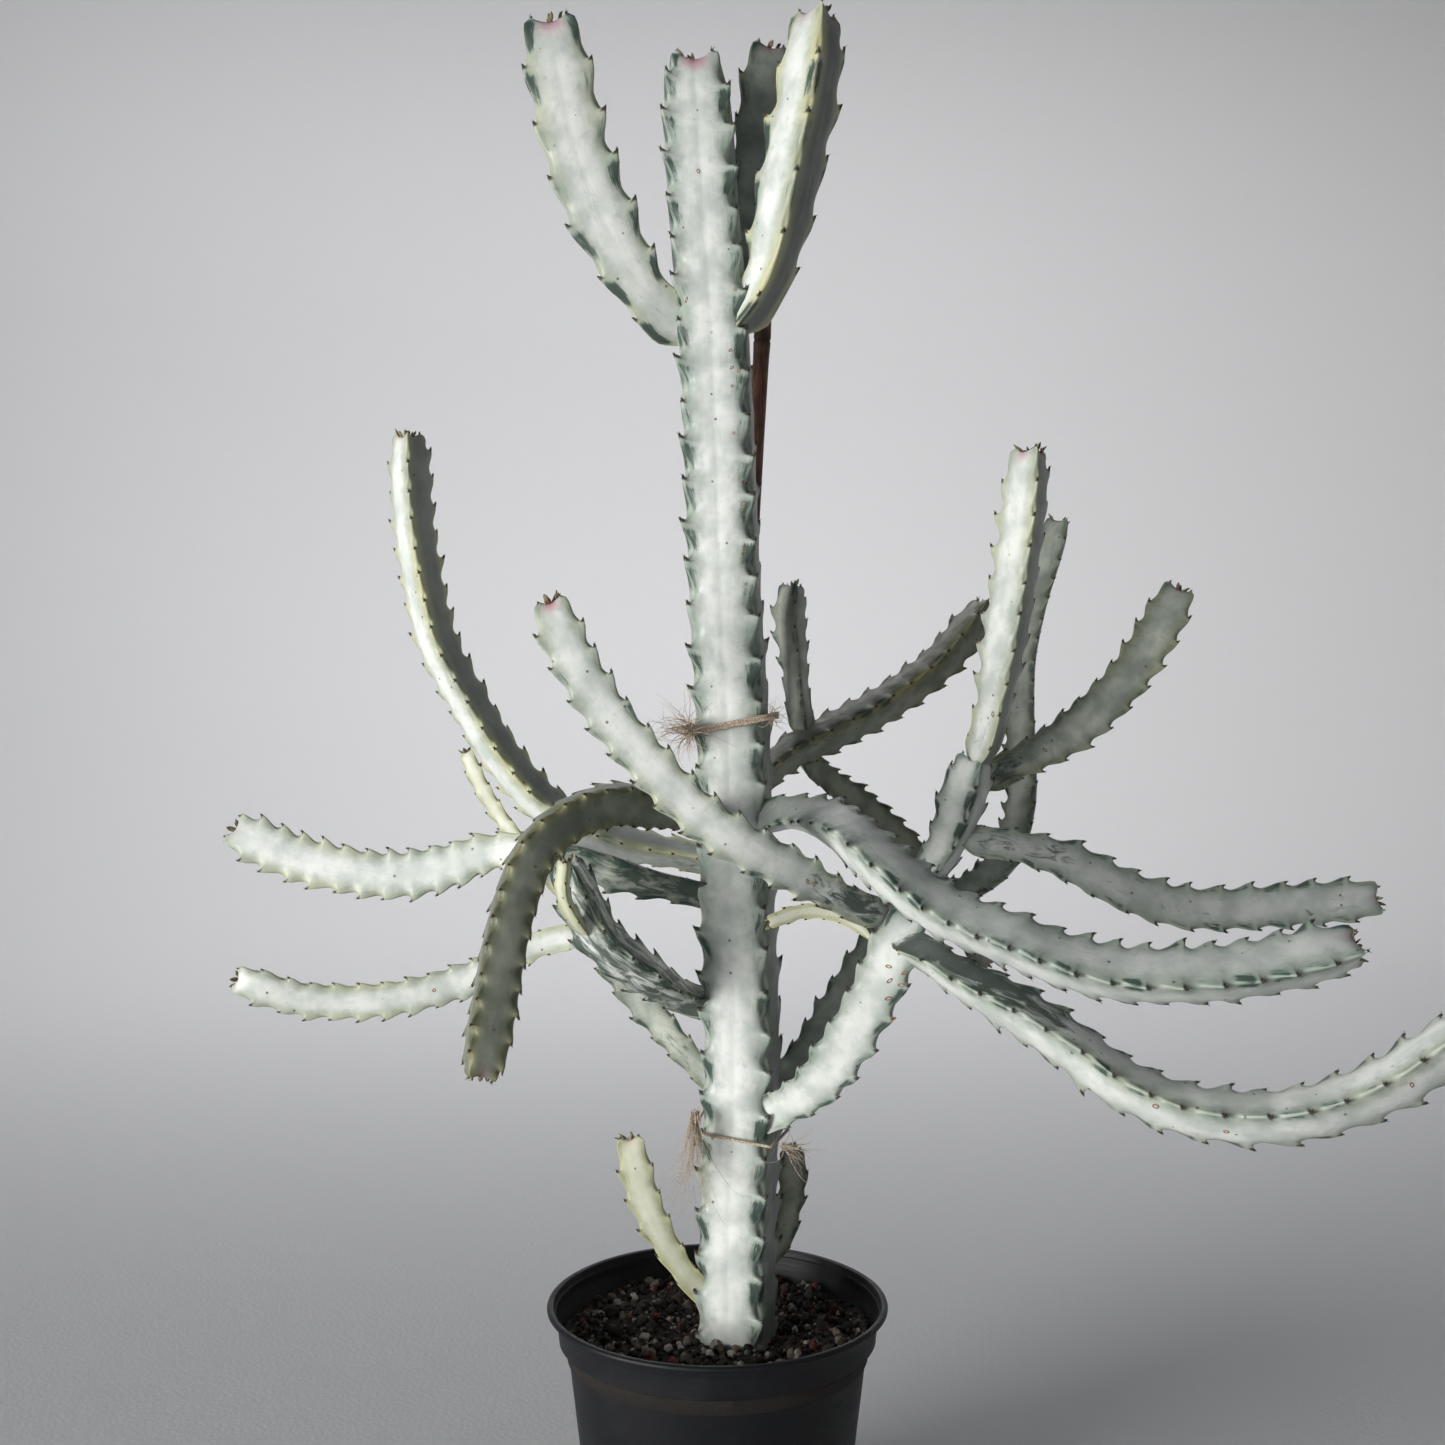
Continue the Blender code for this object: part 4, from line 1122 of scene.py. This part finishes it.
def tie_band(name, node, height, slope, strand, turns, wraps):
    """Yarn of three strands drawn round the main stem's ribs and the cane."""
    stem = laid_stems["main_stem"]["stem"]
    run = float(np.interp(height, stem.line[:, 2], stem.runs))
    centre = stem.at(np.array(run))[0]
    turn = np.interp(run, (0, stem.length), STEMS["main_stem"][4])
    discs = []
    for rib in range(4):
        angle = math.radians(turn + 90 * rib)
        discs.append((centre[0] + math.sin(angle) * MAIN_STEM_RADIUS * 0.985,
                      centre[1] - math.cos(angle) * MAIN_STEM_RADIUS * 0.985, strand * 2.0))
    share = (height - CANE_FOOT.z) / (CANE_TOP.z - CANE_FOOT.z)
    cane_spot = CANE_FOOT.lerp(CANE_TOP, share)
    discs.append((cane_spot.x, cane_spot.y, CANE_RADIUS + strand * 2.1))
    path = around(discs)
    lines = []
    for wrap in range(wraps):
        for part in range(3):
            points = []
            for number, (x, y) in enumerate(path):
                ahead = unit(path[(number + 1) % len(path)] - path[number - 1])
                angle = 2 * math.pi * (part / 3 + turns * number / len(path))
                out = math.cos(angle) * strand * 1.05
                up = math.sin(angle) * strand * 1.05 + (wrap - (wraps - 1) / 2) * strand * 3.2
                z = height + slope * (x - centre[0]) + up
                points.append((x + ahead[1] * out, y - ahead[0] * out, z))
            lines.append((points, strand))
    dress(strands(name, lines, ring=True), JUTE, "twine", node)


HAIR_STEPS = 9


def frayed(name, root, count, reach, way, spread, fall, curl, seed, radius):
    """Loose hairs of yarn that spring from a knot and curl as they thin out."""
    chance = random.Random(seed)
    lines = []
    for number in range(count):
        heading = Vector(way) + Vector([chance.gauss(0, spread) for axis in range(3)])
        heading.normalize()
        length = reach * (0.35 + 0.65 * chance.random())
        spot = Vector(root) + Vector([chance.gauss(0, 0.0011) for axis in range(3)])
        turn = Vector([chance.gauss(0, curl) for axis in range(3)])
        points = []
        for step in range(HAIR_STEPS):
            points.append(tuple(spot))
            bend = turn * (0.25 + 0.75 * step / HAIR_STEPS) + Vector((0, 0, -fall))
            heading = (heading + bend).normalized()
            kink = Vector([chance.gauss(0, curl * 0.5) for axis in range(3)])
            heading = (heading + kink).normalized()
            spot = spot + heading * length / HAIR_STEPS
        lines.append((points, radius * (0.7 + 0.7 * chance.random())))
    dress(strands(name, lines), JUTE, "twine")


tie_band("upper_tie_yarn", "upper_tie", SOIL_TOP + 0.300, 0.20, 0.00050, 30, 2)
tie_band("lower_tie_yarn", "lower_tie", SOIL_TOP + 0.100, -0.12, 0.00042, 36, 1)
frayed("upper_tie_fray", (-0.0125, -0.0375, 0.4155), 110, 0.031,
       (-0.60, -0.35, 0.10), 0.72, 0.03, 0.26, 4, 0.00020)
frayed("upper_tie_end", (0.0262, -0.0365, 0.4215), 44, 0.017,
       (0.5, -0.5, 0.2), 0.80, 0.04, 0.60, 5, 0.00018)
frayed("lower_tie_tassel", (-0.0105, -0.0385, 0.2325), 64, 0.064,
       (-0.03, -0.14, -0.9), 0.09, 0.12, 0.15, 6, 0.00018)
frayed("lower_tie_ends", (0.0310, -0.0340, 0.2160), 30, 0.026,
       (0.75, -0.2, -0.30), 0.45, 0.03, 0.24, 7, 0.00017)

# ---- scars ---------------------------------------------------------------------------

scar_places = []
for name, share, column, wide, high, turn in SCARS:
    laid = laid_stems[name]
    rows, columns = laid["points"].shape[:2]
    row = min(max(round(share * (rows - 1)), 1), rows - 2)
    column = round(column * (columns - 1)) % (columns - 1)
    spot = laid["points"][row, column]
    up = laid["points"][row + 1, column] - laid["points"][row - 1, column]
    right = laid["points"][row, (column + 1) % (columns - 1)] - laid["points"][row, column - 1]
    out = unit(np.cross(right, up))
    if np.dot(out, laid["ray"][row, column]) < 0:
        out = -out
    up = unit(up)
    lean = up * math.cos(math.radians(turn)) + np.cross(out, up) * math.sin(math.radians(turn))
    size = (wide * MM, high * MM, 0.0011)
    scar_places.append(place_matrix(spot + out * 0.00005, out, lean, size))
dress(repeat("cork_scars", scars, scar_places), CORK, "pale_skin")

# ---- room, light and camera ----------------------------------------------------------

plaster, tree, shader = start_material("rolled_pale_plaster")
here = put(tree, "TexCoord").outputs["Object"]
stipple = clouds(tree, here, 320.0, detail=3.0)
join(tree, shader, {"Base Color": linear("#DEDEDF"), "Roughness": 0.9})
emboss(tree, shader, stipple, 0.25, 0.0008)

# A round room whose floor curves up into its wall, so that there is pale wall behind every side.
FLOOR_RADIUS, BEND_RADIUS, WALL_HEIGHT = 2.0, 1.4, 3.6
bend = [at * math.pi / 32 for at in range(17)]
sweep = [(FLOOR_RADIUS + BEND_RADIUS * math.sin(turn), BEND_RADIUS - BEND_RADIUS * math.cos(turn))
         for turn in bend]
room = turned("backdrop", [(0, 0)] + sweep + [(FLOOR_RADIUS + BEND_RADIUS, WALL_HEIGHT)], 96)
bpy.ops.object.shade_smooth()
room.data.materials.append(plaster)


def soft_light(name, spot, aim, size, power, code, spread=180):
    """An area light of this size in metres and power in watts, out of the camera's sight."""
    shape = bpy.data.lights.new(name, "AREA")
    shape.shape = "RECTANGLE"
    shape.size, shape.size_y = size
    shape.energy = power
    shape.color = linear(code)[:3]
    shape.spread = math.radians(spread)
    lamp = add_object(name, shape)
    lamp.visible_camera = False
    lamp.location = spot
    lamp.rotation_euler = (Vector(aim) - Vector(spot)).to_track_quat("-Z", "Y").to_euler()


soft_light("window", (-1.80, -1.45, 0.34), (0.30, 0.02, 0.38), (1.1, 1.1), 20.5, "#FFFEFC", 90)
soft_light("wall_light", (-0.3, 0.9, 2.9), (-0.30, 3.0, 0.55), (2.0, 0.6), 29, "#FFFFFF", 112)
soft_light("back_light", (-0.3, 2.3, 2.3), (0.0, 0.0, 0.4), (1.5, 1.0), 5, "#FFFFFF", 130)
soft_light("sky", (-0.3, -0.5, 2.1), (0.0, 0.1, 0.4), (1.2, 1.0), 2.0, "#C0D3F6")
soft_light("bounce", (0.15, -1.4, 0.10), (0.20, 0.0, 0.30), (1.2, 0.2), 1.5, "#FFFFFF")

world = bpy.data.worlds.new("studio")
bpy.context.scene.world = world
world.use_nodes = True
join(world.node_tree, world.node_tree.nodes["Background"],
     {"Color": linear("#C9CDD2"), "Strength": 0.03})

lens = bpy.data.cameras.new("camera")
lens.lens = 36 * 1580 / 1445
lens.sensor_width = 36
lens.clip_start = 0.02
camera = add_object("camera", lens)
camera.location = (0.0025, -0.792, 0.4187)
camera.rotation_euler = (math.pi / 2, 0, 0)
bpy.context.scene.camera = camera
bpy.context.scene.view_settings.view_transform = "Standard"
